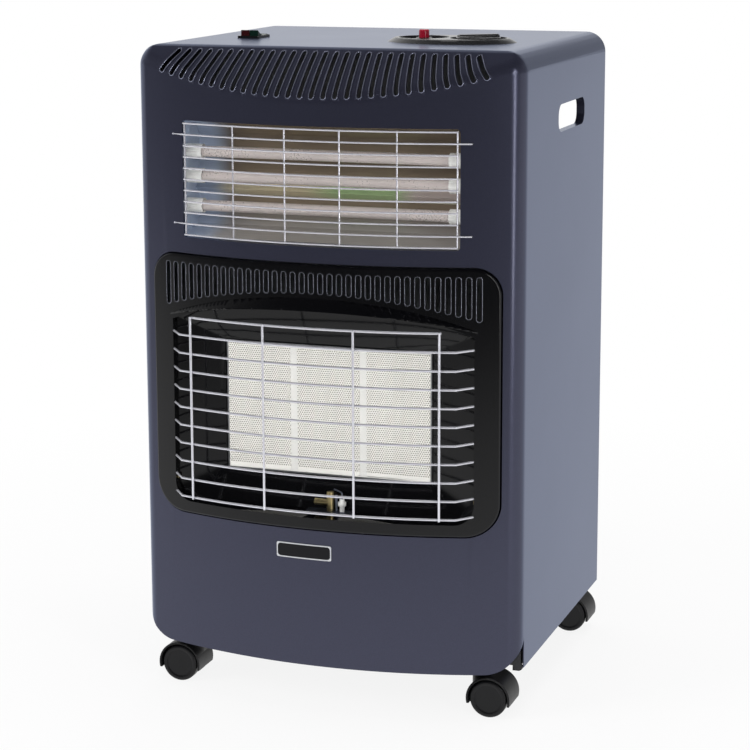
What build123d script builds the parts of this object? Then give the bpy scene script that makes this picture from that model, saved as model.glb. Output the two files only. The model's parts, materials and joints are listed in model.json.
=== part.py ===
from build123d import *
import os
from math import atan2, ceil, cos, degrees, hypot, radians, sin, sqrt

# Portable gas cabinet heater on four twin-wheel casters.
# Millimetres. X to the right, Y to the back, Z up from the floor.
# Every piece is drawn with y = 0 at the casing's front edge; save() then moves
# it so that the part's origin lies under the middle of its bounding box.

# ---- cabinet
cabinet_width = 420.0
cabinet_depth = 321.0        # side casing, front edge to rear edge
cabinet_top = 694.0
casing_bottom = 54.0
sheet = 1.0                  # pressed steel of the cabinet
casing_top_radius = 22.0     # bend between the sides and the top
casing_flange = 14.0         # inward flange round the open back
casing_foot = 10.0           # inward flange along the side's lower edge
seam_clearance = 0.3         # between nested sheet edges

# ---- bowed front panel
front_reach = 60.0           # bow's middle ahead of the casing
bow_sag = 42.5               # bow's middle ahead of its ends
panel_edge_radius = 20.0     # plan radius where the front turns to the side
panel_bottom = 52.0
panel_low_radius = 35.0
panel_lip = 12.0             # tucks inside the casing
panel_hem = 13.0             # inward flange under the front
slope_top_y = -8.0           # sloping louvre band, upper edge
slope_top_drop = 2.0
slope_low_z = 646.0          # where the band meets the bow's middle
slope_bulge = 2.5
slope_round = 18.0           # rounding where the band turns down into the bow
crown_y = -2.5               # flat crown ahead of the casing

# ---- louvres in the sloping band
louvre_count = 29
louvre_width = 4.6
louvre_top_margin = 47.5     # outer louvres inside the cabinet's sides
louvre_low_margin = 35.0
louvre_top_z = 687.5
louvre_low_z = 648.5
louvre_low_rise = 21.0       # the outer louvres end this much higher
louvre_rim = 1.1
louvre_rim_height = 0.7

# ---- electric heater opening
quartz_width = 301.0
quartz_low = 496.5
quartz_high = 618.5
quartz_corner = 4.0
quartz_flange_y = -33.0      # back edge of the opening's flange

# ---- electric heater
tube_radius = 5.8
tube_wall = 1.0
tube_y = -20.0
tube_heights = (584.7, 559.2, 528.0)
tube_half_length = 141.0
cap_radius = 7.8
cap_inner_x = 134.5
cap_outer_x = 164.0
coil_radius = 1.6
reflector_half = 153.5
reflector_back_y = 13.0
reflector_sheet = 0.8
reflector_shoulder = 9.0
ridge_depth = 12.0
ridge_half = 7.0
end_plate_margin = 6.0

# ---- wire guard over the electric heater
guard_wire = 0.9
guard_count = 11
guard_pitch = 11.6
guard_low = 499.4
guard_half = 147.5
guard_vertical_count = 6
guard_pin_reach = 161.5
guard_pin_depth = 4.0

# ---- burner surround
surround_margin = 19.5       # paint left each side of the surround
surround_low = 200.0
surround_high = 478.5
surround_low_radius = 35.0
surround_high_radius = 27.0
surround_gap = 1.2           # dark joint line round the surround
surround_sheet = 1.5
surround_proud = 3.0
surround_edge = 2.8
surround_return = 12.0
surround_slot_count = 35
surround_slot_pitch = 10.0
surround_slot_width = 5.0
surround_slot_top = 470.0
surround_slot_low = 449.0    # middle slot
surround_slot_drop = 24.0    # the outer slots end this much lower
mouth_margin = 25.0          # black frame each side of the mouth
mouth_low = 213.0
mouth_low_radius = 20.0
mouth_spring = 409.0         # where the arch starts, at the sides
mouth_crown = 441.0
mouth_back_y = -26.0
mouth_screw_y = -30.5
mouth_screw_z = 236.0
mouth_screw_head = 2.6
mouth_screw_shank = 1.4

# ---- heat deflector over the mouth
deflector_reach = 14.0       # ahead of the bow
deflector_drop = 10.0
deflector_spring_rise = 4.0   # its ends meet the surround this far above the mouth's spring
deflector_sheet = 1.5

# ---- burner
plaque_width = 69.0
plaque_height = 134.0
plaque_thickness = 13.0
plaque_gap = 8.0
plaque_front_y = -15.0
plaque_low = 249.0
gasket_margin = 1.0
box_sheet = 1.2
box_depth = 34.0
shroud_sheet = 1.0
shroud_margin = 1.5
mixer_radius = 11.0
mixer_wall = 1.0
mixer_y = 8.0
mixer_low = 168.0
mixer_bell = 15.0
mixer_bell_height = 14.0
manifold_radius = 7.0
manifold_bore = 5.0
manifold_z = 140.0
manifold_overhang = 30.0
injector_radius = 4.0
injector_height = 16.0
injector_jet = 1.5

# ---- front grille
grille_wire = 1.25
grille_proud = 14.2          # wires ahead of the bow
weld_gap = 0.03              # between crossing wires
grille_count = 11
grille_pitch = 19.3
grille_low = 222.0
grille_bend_margin = 14.5    # bends inside the mouth's sides
grille_tip_margin = 1.2      # tips end inside the mouth's side walls
grille_tip_y = -33.5
grille_outer_bar = 135.7
grille_inner_bar = 49.0

# ---- pilot
pilot_x = 8.0
pilot_y = -32.0
pilot_radius = 4.0
pilot_height = 20.0
pilot_plate_half = 25.0
pilot_plate = 1.2
flame_tube_radius = 3.6
insulator_x = 21.0
insulator_radius = 2.6
electrode_wire = 0.8
thermo_x = 14.5
thermo_radius = 1.5

# ---- gas train
valve_x = 123.5
valve_y = 112.0
valve_width = 38.0
valve_length = 60.0
valve_low = 640.0
valve_high = 670.0
valve_neck_radius = 11.0
valve_neck_top = 684.0
plunger_radius = 7.0
plunger_length = 8.0
plunger_z = 674.0
spindle_radius = 4.0
spindle_low = 664.0
running_fit = 0.05
knob_travel = 3.0
bracket_sheet = 2.0
nozzle_radius = 5.0
nozzle_bore = 3.0
nozzle_length = 42.0
pipe_radius = 4.0
pipe_wall = 1.0
pilot_pipe_radius = 2.5
pipe_bend = 12.0
pipe_run_margin = 24.0       # from the cabinet's side
pilot_run_margin = 11.0
pilot_run_y = 26.0

# ---- controls on the top
plate_x = 94.5
plate_y = 112.0
plate_length = 140.0
plate_depth = 94.0
plate_height = 4.5
plate_bevel = 8.0
button_x = 63.6
button_dish_radius = 26.5
button_dish_floor = 1.5
button_radius = 5.5
button_top = 706.5
button_length = 29.0
button_travel = 5.0
slide_fit = 0.25
igniter_radius = 9.0
igniter_length = 46.0
knob_dish_radius = 29.8
knob_radius = 23.5
knob_low = 697.6
knob_disc = 2.0
knob_top = 702.5
knob_socket_depth = 3.8
knob_blade = 9.0
rocker_x = -134.0
rocker_y = 120.0
bezel_width = 25.0
bezel_length = 34.0
bezel_height = 2.4
rocker_width = 9.6
rocker_length = 27.0
rocker_gap = 0.6
rocker_rise = 7.0
rocker_tilt = 11.0           # degrees each side of level
rocker_pivot_z = 692.0
switch_body_depth = 24.0

# ---- inside the cabinet
partition_y = 32.0
partition_margin = 0.3
base_z = 55.0
base_lip = 20.0
base_inset = 2.6
base_front_margin = 25.0     # bowed part of the pan inside the cabinet's sides
base_step_y = 0.5
corner_foot_z = 49.5
corner_foot_radius = 5.0
corner_foot_width = 11.0
corner_foot_depth = 3.0
gland_x = -110.0
gland_y = 8.0
gland_radius = 8.0
gland_bore = 3.6
vent_x = 70.0
vent_y = 190.0
vent_width = 60.0
vent_length = 90.0
vent_corner = 20.0

# ---- rear cover
cover_clearance = 0.3        # inside the casing's flange
cover_low = 81.0
cover_high = 505.0
cover_lip = 10.0
cover_inset = 0.5            # rear face ahead of the casing's rear edge
cover_tab_x = 120.0
cover_tab_width = 30.0
cover_tab_drop = 12.0
cover_slot_rows = 8
cover_slot_pitch = 14.0
cover_slot_length = 90.0
cover_pull_radius = 22.0
hook_width = 48.0
hook_sheet = 1.5

# ---- side grips
grip_y = 172.0
grip_z = 615.5
grip_length = 111.0
grip_height = 29.0
grip_corner = 12.0
grip_flange = 9.0

# ---- blank badge plate
badge_x = -11.5
badge_z = 175.7
badge_width = 61.0
badge_height = 16.0
badge_proud = 0.8

# ---- casters
wheel_radius = 20.0
wheel_width = 12.4
wheel_edge = 2.5
wheel_gap = 0.6              # between wheel and web
caster_width = 38.0
caster_web = 10.6
fender_gap = 1.6
fender_wall = 2.2
fender_open = 16.0           # degrees below level where the fender ends
caster_offset = 11.0
caster_front_margin = 45.5   # stems inside the cabinet's sides
caster_rear_margin = 35.5
caster_front_y = 3.0
caster_rear_y = 301.0
axle_radius = 3.0
axle_cover = 2.0             # left solid behind the wheel's disc face
boss_radius = 10.5
boss_top = 48.5
stem_radius = 4.0
stem_low = 26.0
stem_top = 78.0
stem_collar = 9.0
socket_radius = 9.0

# ---- worked out from the sizes above
half = cabinet_width / 2
bow_radius = (half**2 + bow_sag**2) / (2 * bow_sag)
bow_y = bow_radius - front_reach
louvre_top_span = cabinet_width - 2 * louvre_top_margin
louvre_low_span = cabinet_width - 2 * louvre_low_margin
surround_half = half - surround_margin
mouth_half = surround_half - mouth_margin
grille_bend_x = mouth_half - grille_bend_margin
grille_tip_x = mouth_half + grille_tip_margin
pipe_run_x = half - pipe_run_margin
pilot_run_x = half - pilot_run_margin
base_front_half = half - base_front_margin
cover_half = half - casing_flange - cover_clearance
caster_front_x = half - caster_front_margin
caster_rear_x = half - caster_rear_margin
tall = cabinet_top + 100
far = cabinet_depth + 100
slope_top_z = cabinet_top - slope_top_drop
slope_length = hypot(front_reach + slope_top_y, slope_top_z - slope_low_z)
slope_normal = (-(slope_top_z - slope_low_z) / slope_length, (front_reach + slope_top_y) / slope_length)
plaque_span = 3 * plaque_width + 2 * plaque_gap
plaque_high = plaque_low + plaque_height
box_half = plaque_span / 2 + gasket_margin + box_sheet
box_low = plaque_low - gasket_margin - box_sheet
box_high = plaque_high + gasket_margin + box_sheet
box_back_y = plaque_front_y + box_depth
plaque_xs = [(i - 1) * (plaque_width + plaque_gap) for i in range(3)]
bar_offset = grille_proud + 2 * grille_wire + weld_gap
front_y = bow_y - sqrt((bow_radius + bar_offset) ** 2 - grille_inner_bar**2) - grille_wire
centre_shift = -(cabinet_depth + front_y) / 2
casters = {
    "front_left": (-caster_front_x, caster_front_y, -1),
    "front_right": (caster_front_x, caster_front_y, 1),
    "rear_left": (-caster_rear_x, caster_rear_y, -1),
    "rear_right": (caster_rear_x, caster_rear_y, 1),
}


# ---------------------------------------------------------------- helpers
def save(name, shape):
    """Writes one node, moved into the part's own frame."""
    solids = ShapeList(shape.solids())
    moved = Location((0, centre_shift, 0)) * (solids[0] if len(solids) == 1 else Compound(children=list(solids)))
    export_step(moved, f"parts/{name}.step")
    print(name, len(solids), round(sum(s.volume for s in solids)))


def block(x0, x1, y0, y1, z0, z1):
    return Pos((x0 + x1) / 2, (y0 + y1) / 2, (z0 + z1) / 2) * Box(x1 - x0, y1 - y0, z1 - z0)


def post(x, y, z0, z1, radius):
    """Upright cylinder."""
    return Pos(x, y, (z0 + z1) / 2) * Cylinder(radius, z1 - z0)


def rod(a, b, radius):
    """Cylinder from point a to point b."""
    a, b = Vector(*a), Vector(*b)
    return Plane(origin=a, z_dir=b - a) * Pos(0, 0, (b - a).length / 2) * Cylinder(radius, (b - a).length)


def through_front(face, y0, y1):
    """Extrudes a face drawn in X and Z from y1 forward to y0."""
    return extrude(Pos(0, y1, 0) * face, y1 - y0)


def through_side(face, x0, x1):
    """Extrudes a face drawn in Y and Z from x0 to x1."""
    return extrude(Pos(x0, 0, 0) * face, x1 - x0)


def together(shapes):
    """Joins a list of shapes into one."""
    first, *rest = shapes
    return first.fuse(*rest) if rest else first


def front_outline(width, low, high, low_radius, high_radius):
    """Upright rectangle in X and Z with its own radii below and above."""
    face = Rectangle(width, high - low)
    if low_radius > 0:
        face = fillet(face.vertices().group_by(Axis.Y)[0], low_radius)
    if high_radius > 0:
        face = fillet(face.vertices().group_by(Axis.Y)[-1], high_radius)
    return Plane.XZ * Pos(0, (low + high) / 2) * face


def slot_face(x0, z0, x1, z1, width):
    """Round-ended slot in X and Z between two end centres."""
    length = hypot(x1 - x0, z1 - z0)
    angle = degrees(atan2(z1 - z0, x1 - x0))
    return Plane.XZ * Pos((x0 + x1) / 2, (z0 + z1) / 2) * Rot(0, 0, angle) * SlotCenterToCenter(length, width)


def bow(offset):
    """Upright cylinder whose front is the bow, moved out by offset."""
    return post(0, bow_y, 0, tall, bow_radius + offset)


def bow_front_y(x, offset=0.0):
    return bow_y - sqrt((bow_radius + offset) ** 2 - x**2)


def along_bow(half_width, z, offset, wire):
    """Wire that follows the bow at height z."""
    ends = bow_front_y(half_width, offset)
    path = ThreePointArc((-half_width, ends, z), (0, bow_front_y(0, offset), z), (half_width, ends, z))
    return sweep(Plane(origin=path @ 0, z_dir=path % 0) * Circle(wire), path=path)


def bent_tube(points, bend, radius, wall=0.0):
    """Round tube along straight runs joined by arcs."""
    path = FilletPolyline(*points, radius=bend)
    ring = Circle(radius) - Circle(radius - wall) if wall else Circle(radius)
    return sweep(Plane(origin=path @ 0, z_dir=path % 0) * ring, path=path)


# ---------------------------------------------------------------- front panel
def slope_cutter(inset):
    """Space above the sloping louvre band, set back by inset."""
    shift = (-slope_normal[0] * inset, -slope_normal[1] * inset)
    top = (slope_top_y + shift[0], slope_top_z + shift[1])
    run = slope_round / 4
    low = (-front_reach + shift[0] - run * slope_normal[1], slope_low_z + shift[1] + run * slope_normal[0])
    middle = (
        (top[0] + low[0]) / 2 + slope_normal[0] * slope_bulge,
        (top[1] + low[1]) / 2 + slope_normal[1] * slope_bulge,
    )
    crown = (crown_y, cabinet_top - inset)
    reach = -front_reach - 40
    run_out = (reach, low[1] + (reach - low[0]) * (low[1] - top[1]) / (low[0] - top[0]))
    edge = [
        Line(crown, top),
        ThreePointArc(top, middle, low),
        Polyline(low, run_out, (reach, tall), (crown_y, tall), crown),
    ]
    return through_side(Plane.YZ * make_face(edge), -cabinet_width, cabinet_width)


def front_form(inset, back=0.0):
    """Solid of the whole bowed front, set back from its skin by inset."""
    plan = Pos(0, (back - far) / 2) * Rectangle(cabinet_width - 2 * inset, back + far)
    plan = plan & (Pos(0, bow_y) * Circle(bow_radius - inset))
    corners = [v for v in plan.vertices() if v.Y < -1 and abs(v.X) > half / 2]
    plan = fillet(corners, panel_edge_radius - inset)
    outline = front_outline(
        cabinet_width - 2 * inset,
        panel_bottom + inset,
        cabinet_top - inset,
        panel_low_radius - inset,
        casing_top_radius - inset,
    )
    form = extrude(plan, tall) & through_front(outline, -far, back)
    form = form - slope_cutter(inset)
    fold = [e for e in form.edges() if e.length > half and (e @ 0.5).Z > slope_low_z - slope_round]
    fold = [e for e in fold if on_cylinder(e, bow_radius - inset)]
    return fillet(fold, slope_round - inset)


def louvres(width):
    """The fan of louvre slots in the sloping band."""
    faces = []
    for i in range(louvre_count):
        side = 2 * i / (louvre_count - 1) - 1
        top_x = side * louvre_top_span / 2
        low_x = side * louvre_low_span / 2
        low_z = louvre_low_z + louvre_low_rise * side**2
        faces.append(slot_face(low_x, low_z, top_x, louvre_top_z, width))
    return [through_front(face, -far, crown_y - 1) for face in faces]


def tuck_in_lip():
    """Lip that slides inside the casing along the sides and the top."""
    def ring(outer, inner, y0, y1):
        shapes = []
        for inset in (outer, inner):
            face = front_outline(
                cabinet_width - 2 * inset,
                panel_bottom + inset,
                cabinet_top - inset,
                panel_low_radius - inset,
                casing_top_radius - inset,
            )
            shapes.append(through_front(face, y0, y1))
        return shapes[0] - shapes[1]

    inner = 2 * sheet + seam_clearance
    lip = ring(sheet / 2, inner, crown_y, -seam_clearance)
    lip = lip + ring(sheet + seam_clearance, inner, crown_y, panel_lip)
    foot = block(-half, half, -front_reach, panel_lip + 1, 0, panel_bottom + panel_low_radius)
    return lip - foot


def guard_holes():
    """Small holes that take the guard's four pins."""
    holes = []
    for side in (-1, 1):
        for row in (1, guard_count - 2):
            z = guard_low + row * guard_pitch
            x = side * guard_pin_reach
            holes.append(rod((x, -far / 2, z), (x, quartz_flange_y, z), guard_wire + seam_clearance))
    return holes


def make_front_panel():
    skin = front_form(0) - front_form(sheet, back=1)
    hem = bow(-panel_hem) & block(-far, far, -far, 1, 0, panel_bottom + 2 * sheet)
    hem = hem & block(panel_low_radius - half, half - panel_low_radius, -far, 1, 0, tall)
    skin = skin - hem + tuck_in_lip()
    rims = together(louvres(louvre_width + 2 * louvre_rim))
    rims = rims & (front_form(-louvre_rim_height) - front_form(sheet / 2))
    skin = skin + rims
    skin = skin - together(louvres(louvre_width))
    window = front_outline(quartz_width, quartz_low, quartz_high, quartz_corner, quartz_corner)
    frame = front_outline(
        quartz_width + 2 * sheet,
        quartz_low - sheet,
        quartz_high + sheet,
        quartz_corner + sheet,
        quartz_corner + sheet,
    )
    flange = through_front(frame, -far, quartz_flange_y) & front_form(0)
    skin = skin + flange
    skin = skin - through_front(window, -far, 1)
    skin = skin - through_front(surround_outline(-surround_gap), -far, 1)
    return skin - guard_holes()


# ---------------------------------------------------------------- burner front
def surround_outline(inset):
    return front_outline(
        2 * (surround_half - inset),
        surround_low + inset,
        surround_high - inset,
        surround_low_radius - inset,
        surround_high_radius - inset,
    )


def mouth_outline(grow, spring=mouth_spring, crown=mouth_crown):
    """Arched mouth of the surround in X and Z, made larger by grow."""
    x = mouth_half + grow
    low = mouth_low - grow
    outline = [
        Line((x, spring), (x, low)),
        Line((x, low), (-x, low)),
        Line((-x, low), (-x, spring)),
        ThreePointArc((-x, spring), (0, crown + grow), (x, spring)),
    ]
    face = make_face(outline)
    face = fillet(face.vertices().group_by(Axis.Y)[0], mouth_low_radius)
    return Plane.XZ * face


def surround_slots():
    slots = []
    for i in range(surround_slot_count):
        x = (i - (surround_slot_count - 1) / 2) * surround_slot_pitch
        reach = (surround_slot_count - 1) / 2 * surround_slot_pitch
        low = surround_slot_low - surround_slot_drop * (x / reach) ** 2 + surround_slot_width / 2
        face = slot_face(x, low, x, surround_slot_top - surround_slot_width / 2, surround_slot_width)
        slots.append(through_front(face, -far, 1))
    return slots


def make_burner_surround():
    outer = through_front(surround_outline(0), -far, 1) & bow(surround_proud)
    outer = outer - bow(-surround_return)
    rim = [e for e in outer.edges() if on_cylinder(e, bow_radius + surround_proud)]
    outer = fillet(rim, surround_edge)
    inner = through_front(surround_outline(surround_sheet), -far, 1) & bow(surround_proud - surround_sheet)
    shell = outer - inner
    throat = through_front(mouth_outline(surround_sheet), -far, mouth_back_y) & bow(surround_proud)
    shell = shell + throat
    shell = shell - through_front(mouth_outline(0), -far, 1)
    shell = shell - surround_slots() - grille_holes()
    reach = mouth_half + 10
    shell = shell - rod((-reach, mouth_screw_y, mouth_screw_z), (reach, mouth_screw_y, mouth_screw_z),
                        mouth_screw_shank + running_fit)
    return shell - post(pilot_x, pilot_y, mouth_low - 9, mouth_low + 1, pilot_pipe_radius + 1.5)


def grille_ends(i):
    """Bend and tip of bar i on its right-hand side."""
    z = grille_low + i * grille_pitch
    bend = Vector(grille_bend_x, bow_front_y(grille_bend_x, grille_proud), z)
    return bend, Vector(grille_tip_x, grille_tip_y, z)


def grille_holes():
    """Holes that take the bent ends of the grille's bars."""
    holes = []
    for i in range(grille_count - 1):
        bend, tip = grille_ends(i)
        middle = (bend + tip) / 2
        hole = rod(tuple(middle), tuple(tip + (tip - bend) * 0.2), grille_wire + seam_clearance)
        holes += [hole, hole.mirror(Plane.YZ)]
    return holes


def on_cylinder(edge, radius):
    """True if the edge lies all along on the cylinder of that radius about the bow's axis."""
    places = [edge @ t for t in (0.0, 0.25, 0.5, 0.75, 1.0)]
    return all(abs(hypot(p.X, p.Y - bow_y) - radius) < 0.01 for p in places)


def make_mouth_screws():
    """Round-headed screws through both side walls of the mouth."""
    y, z = mouth_screw_y, mouth_screw_z
    screws = []
    for side in (-1, 1):
        x = side * mouth_half
        head = rod((x, y, z), (x - side * 1.6, y, z), mouth_screw_head)
        screws.append(head + rod((x, y, z), (x + side * 5, y, z), mouth_screw_shank))
    return Compound(children=screws)


def make_heat_deflector():
    """Arched eyebrow that leans out and down from the mouth's upper edge."""
    x = mouth_half + 2 * surround_sheet
    rise = deflector_drop
    start = bow_front_y(0, surround_proud)
    fall = (bow_front_y(x, surround_proud) - start) * rise / (deflector_reach - surround_proud)
    band = []
    for grow in (deflector_sheet, 0.0):
        crown = mouth_crown + surround_sheet + grow
        spring = mouth_spring + deflector_spring_rise + grow - fall
        lines = [
            ThreePointArc((-x, spring), (0, crown), (x, spring)),
            Polyline((x, spring), (x, spring - 60), (-x, spring - 60), (-x, spring)),
        ]
        band.append(Plane.XZ * make_face(lines))
    strip = band[0] - band[1]
    lean = Vector(0, surround_proud - deflector_reach, -rise)
    length = lean.length * 5
    sheet_solid = extrude(Pos(0, start, 0) * strip, length, dir=lean)
    back = extrude(Pos(0, start, 0) * strip, lean.length * 4, dir=-lean)
    tip_y = bow_front_y(0) - deflector_reach
    sag = bow_front_y(x, surround_proud) - tip_y
    tip_radius = (x**2 + sag**2) / (2 * sag)
    limit = post(0, tip_y + tip_radius, 0, tall, tip_radius)
    return ((sheet_solid + back) & limit) - bow(surround_proud)


def make_burner_shroud():
    """Sloping walls from the mouth back to the plaques."""
    def funnel(grow):
        x = mouth_half + grow
        low = mouth_low - grow
        crown = mouth_crown + grow
        r = mouth_low_radius
        front = [
            Line((x, mouth_spring), (x, low + r)),
            RadiusArc((x, low + r), (x - r, low), r),
            Line((x - r, low), (r - x, low)),
            RadiusArc((r - x, low), (-x, low + r), r),
            Line((-x, low + r), (-x, mouth_spring)),
            ThreePointArc((-x, mouth_spring), (0, crown), (x, mouth_spring)),
        ]
        bx = box_half + shroud_margin + grow
        blow = box_low - shroud_margin - grow
        bhigh = box_high + shroud_margin + grow
        q = 6.0
        back = [
            Line((bx, bhigh), (bx, blow + q)),
            RadiusArc((bx, blow + q), (bx - q, blow), q),
            Line((bx - q, blow), (q - bx, blow)),
            RadiusArc((q - bx, blow), (-bx, blow + q), q),
            Line((-bx, blow + q), (-bx, bhigh)),
            ThreePointArc((-bx, bhigh), (0, bhigh + 0.5), (bx, bhigh)),
        ]
        faces = [
            Pos(0, mouth_back_y, 0) * (Plane.XZ * make_face(front)),
            Pos(0, plaque_front_y, 0) * (Plane.XZ * make_face(back)),
        ]
        return loft(faces, ruled=True)

    return funnel(shroud_sheet) - funnel(0)


def make_burner_grille():
    wires = []
    reach = grille_proud
    for i in range(grille_count):
        z = grille_low + i * grille_pitch
        if i == grille_count - 1:
            wires.append(along_bow(grille_outer_bar + grille_wire, z, reach, grille_wire))
            continue
        bend, tip = grille_ends(i)
        end = rod(tuple(bend), tuple(tip), grille_wire) + Pos(*bend) * Sphere(grille_wire)
        wires.append(together([along_bow(grille_bend_x, z, reach, grille_wire), end, end.mirror(Plane.YZ)]))
    top = grille_low + (grille_count - 1) * grille_pitch
    for x in (-grille_outer_bar, -grille_inner_bar, grille_inner_bar, grille_outer_bar):
        y = bow_front_y(x, bar_offset)
        wires.append(post(x, y, grille_low - grille_wire, top + grille_wire, grille_wire))
    return Compound(children=wires)


def make_quartz_guard():
    wires = []
    offset = guard_wire + seam_clearance
    for i in range(guard_count):
        z = guard_low + i * guard_pitch
        if i in (1, guard_count - 2):
            wire = [along_bow(guard_pin_reach, z, offset, guard_wire)]
            for side in (-1, 1):
                x = side * guard_pin_reach
                y = bow_front_y(x, offset)
                wire.append(rod((x, y, z), (x, y + guard_pin_depth, z), guard_wire))
                wire.append(Pos(x, y, z) * Sphere(guard_wire))
            wires.append(together(wire))
        else:
            wires.append(along_bow(guard_half + guard_wire, z, offset, guard_wire))
    top = guard_low + (guard_count - 1) * guard_pitch
    for i in range(guard_vertical_count):
        x = guard_half * (2 * i / (guard_vertical_count - 1) - 1)
        y = bow_front_y(x, offset - 2 * guard_wire - weld_gap)
        wires.append(post(x, y, guard_low - guard_wire, top + guard_wire, guard_wire))
    return Compound(children=wires)


# ---------------------------------------------------------------- casing, base, partition, cover
def casing_outline(inset):
    return front_outline(cabinet_width - 2 * inset, -50, cabinet_top - inset, 0, casing_top_radius - inset)


def grip_face(grow):
    shape = RectangleRounded(grip_length + 2 * grow, grip_height + 2 * grow, grip_corner + grow)
    return Plane.YZ * Pos(grip_y, grip_z) * shape


def make_side_casing():
    casing = through_front(casing_outline(0), 0, cabinet_depth)
    casing = casing - through_front(casing_outline(sheet), -1, cabinet_depth - sheet)
    casing = casing - through_front(casing_outline(casing_flange), 0, cabinet_depth + 1)
    casing = casing - block(-far, far, -1, far, -60, casing_bottom)
    for side in (-1, 1):
        foot = block(half - casing_foot, half - sheet / 2, panel_lip, cabinet_depth - sheet / 2, casing_bottom,
                     casing_bottom + sheet)
        casing = casing + (foot if side > 0 else foot.mirror(Plane.YZ))
        inner = side * (half - grip_flange)
        outer = side * (half - sheet / 2)
        casing = casing + through_side(grip_face(sheet), min(inner, outer), max(inner, outer))
    casing = casing - through_side(grip_face(0), -far, far)
    top_z = (cabinet_top - 2 * sheet, cabinet_top + 1)
    casing = casing - post(valve_x, valve_y, *top_z, spindle_radius + 4)
    casing = casing - post(button_x, plate_y, *top_z, button_radius + 1)
    bx = bezel_width / 2 - 0.9
    by = bezel_length / 2 - 0.9
    return casing - block(rocker_x - bx, rocker_x + bx, rocker_y - by, rocker_y + by, *top_z)


def base_plan(inset):
    """Plan of the base pan: bowed in front, square behind."""
    back = cabinet_depth - sheet - base_inset - inset
    width = cabinet_width - 2 * (sheet + base_inset + inset)
    step = base_step_y + inset
    rear = Pos(0, (back + step) / 2) * Rectangle(width, back - step)
    front = Pos(0, (step - far) / 2) * Rectangle(2 * (base_front_half - inset), step + far + 2)
    front = front & (Pos(0, bow_y) * Circle(bow_radius - panel_hem - base_inset - inset))
    return front + rear


def caster_places():
    return [(x, y) for x, y, _ in casters.values()]


def make_base_pan():
    pan = extrude(Pos(0, 0, base_z) * base_plan(0), base_lip)
    pan = pan - extrude(Pos(0, 0, base_z + sheet) * base_plan(sheet), base_lip)
    for x, y in caster_places():
        pan = pan - post(x, y, base_z - 1, base_z + sheet + 1, stem_radius + running_fit)
    for side in (-1, 1):
        vent = Pos(side * vent_x, vent_y, base_z - 1) * RectangleRounded(vent_width, vent_length, vent_corner)
        pan = pan - extrude(vent, 4)
    pan = pan - post(gland_x, gland_y, base_z - 1, base_z + sheet + 1, gland_radius * 0.7)
    return pan + corner_feet() + cover_hooks()


def corner_feet():
    """Rounded lugs of the pan that show under the casing's front corners."""
    width = cabinet_width - 2 * (sheet + seam_clearance)
    outline = front_outline(width, corner_foot_z, base_z + sheet, corner_foot_radius, 0)
    lugs = through_front(outline, base_step_y, base_step_y + corner_foot_depth)
    inner = width / 2 - corner_foot_width
    return (lugs - block(-inner, inner, -1, far, 0, tall)).solids()


def cover_hooks():
    """Two strips of the pan that the rear cover's tabs drop behind."""
    y1 = cover_face_y() - cover_lip + sheet + seam_clearance
    low, high = base_z + sheet / 2, cover_low - 2
    w = hook_width / 2
    return [block(s * cover_tab_x - w, s * cover_tab_x + w, y1, y1 + hook_sheet, low, high) for s in (-1, 1)]


def make_caster_sockets():
    sockets = []
    for x, y in caster_places():
        socket = post(x, y, base_z + sheet, stem_top, socket_radius)
        sockets.append(socket - post(x, y, base_z, stem_top - 2, stem_radius + running_fit))
    return Compound(children=sockets)


def make_caster_stems():
    stems = []
    for x, y in caster_places():
        stem = post(x, y, stem_low, stem_top - 3, stem_radius)
        stems.append(stem + post(x, y, boss_top + 0.5, base_z, stem_collar))
    return Compound(children=stems)


def make_partition():
    side_x = half - sheet - partition_margin
    low = base_z + base_lip + 1
    margin = 2 * sheet + 3
    outline = front_outline(2 * side_x, low, cabinet_top - margin, 0, casing_top_radius)
    wall = through_front(outline, partition_y, partition_y + sheet)
    step_x = half - 2 * sheet - base_inset - seam_clearance
    wall = wall + block(-step_x, step_x, partition_y, partition_y + sheet, base_z + sheet, low)
    for side in (-1, 1):
        x0, x1 = sorted((side * side_x, side * (side_x - sheet)))
        wall = wall + block(x0, x1, partition_y, partition_y + 14, low, cabinet_top - 30)
    holes = [
        rod((pipe_run_x, 0, pipe_height()), (pipe_run_x, 80, pipe_height()), pipe_radius + 1.5),
        rod((pilot_run_x, 0, pilot_pipe_height()), (pilot_run_x, 80, pilot_pipe_height()), pilot_pipe_radius + 1.0),
    ]
    for row in range(5):
        z = 150 + row * 16
        holes.append(through_front(slot_face(-60, z, 60, z, 6), 0, 80))
    return wall - holes


def make_cable_gland():
    """Bush in the base pan, ahead of the partition, where the mains lead comes in."""
    top = base_z + sheet
    bush = post(gland_x, gland_y, base_z - 8, top + 12, gland_radius * 0.65)
    head = post(gland_x, gland_y, base_z - 5, base_z, gland_radius)
    nut = post(gland_x, gland_y, top, top + 5, gland_radius)
    return bush + head + nut - post(gland_x, gland_y, base_z - 9, top + 13, gland_bore)


def cover_face_y():
    return cabinet_depth - cover_inset


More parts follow.
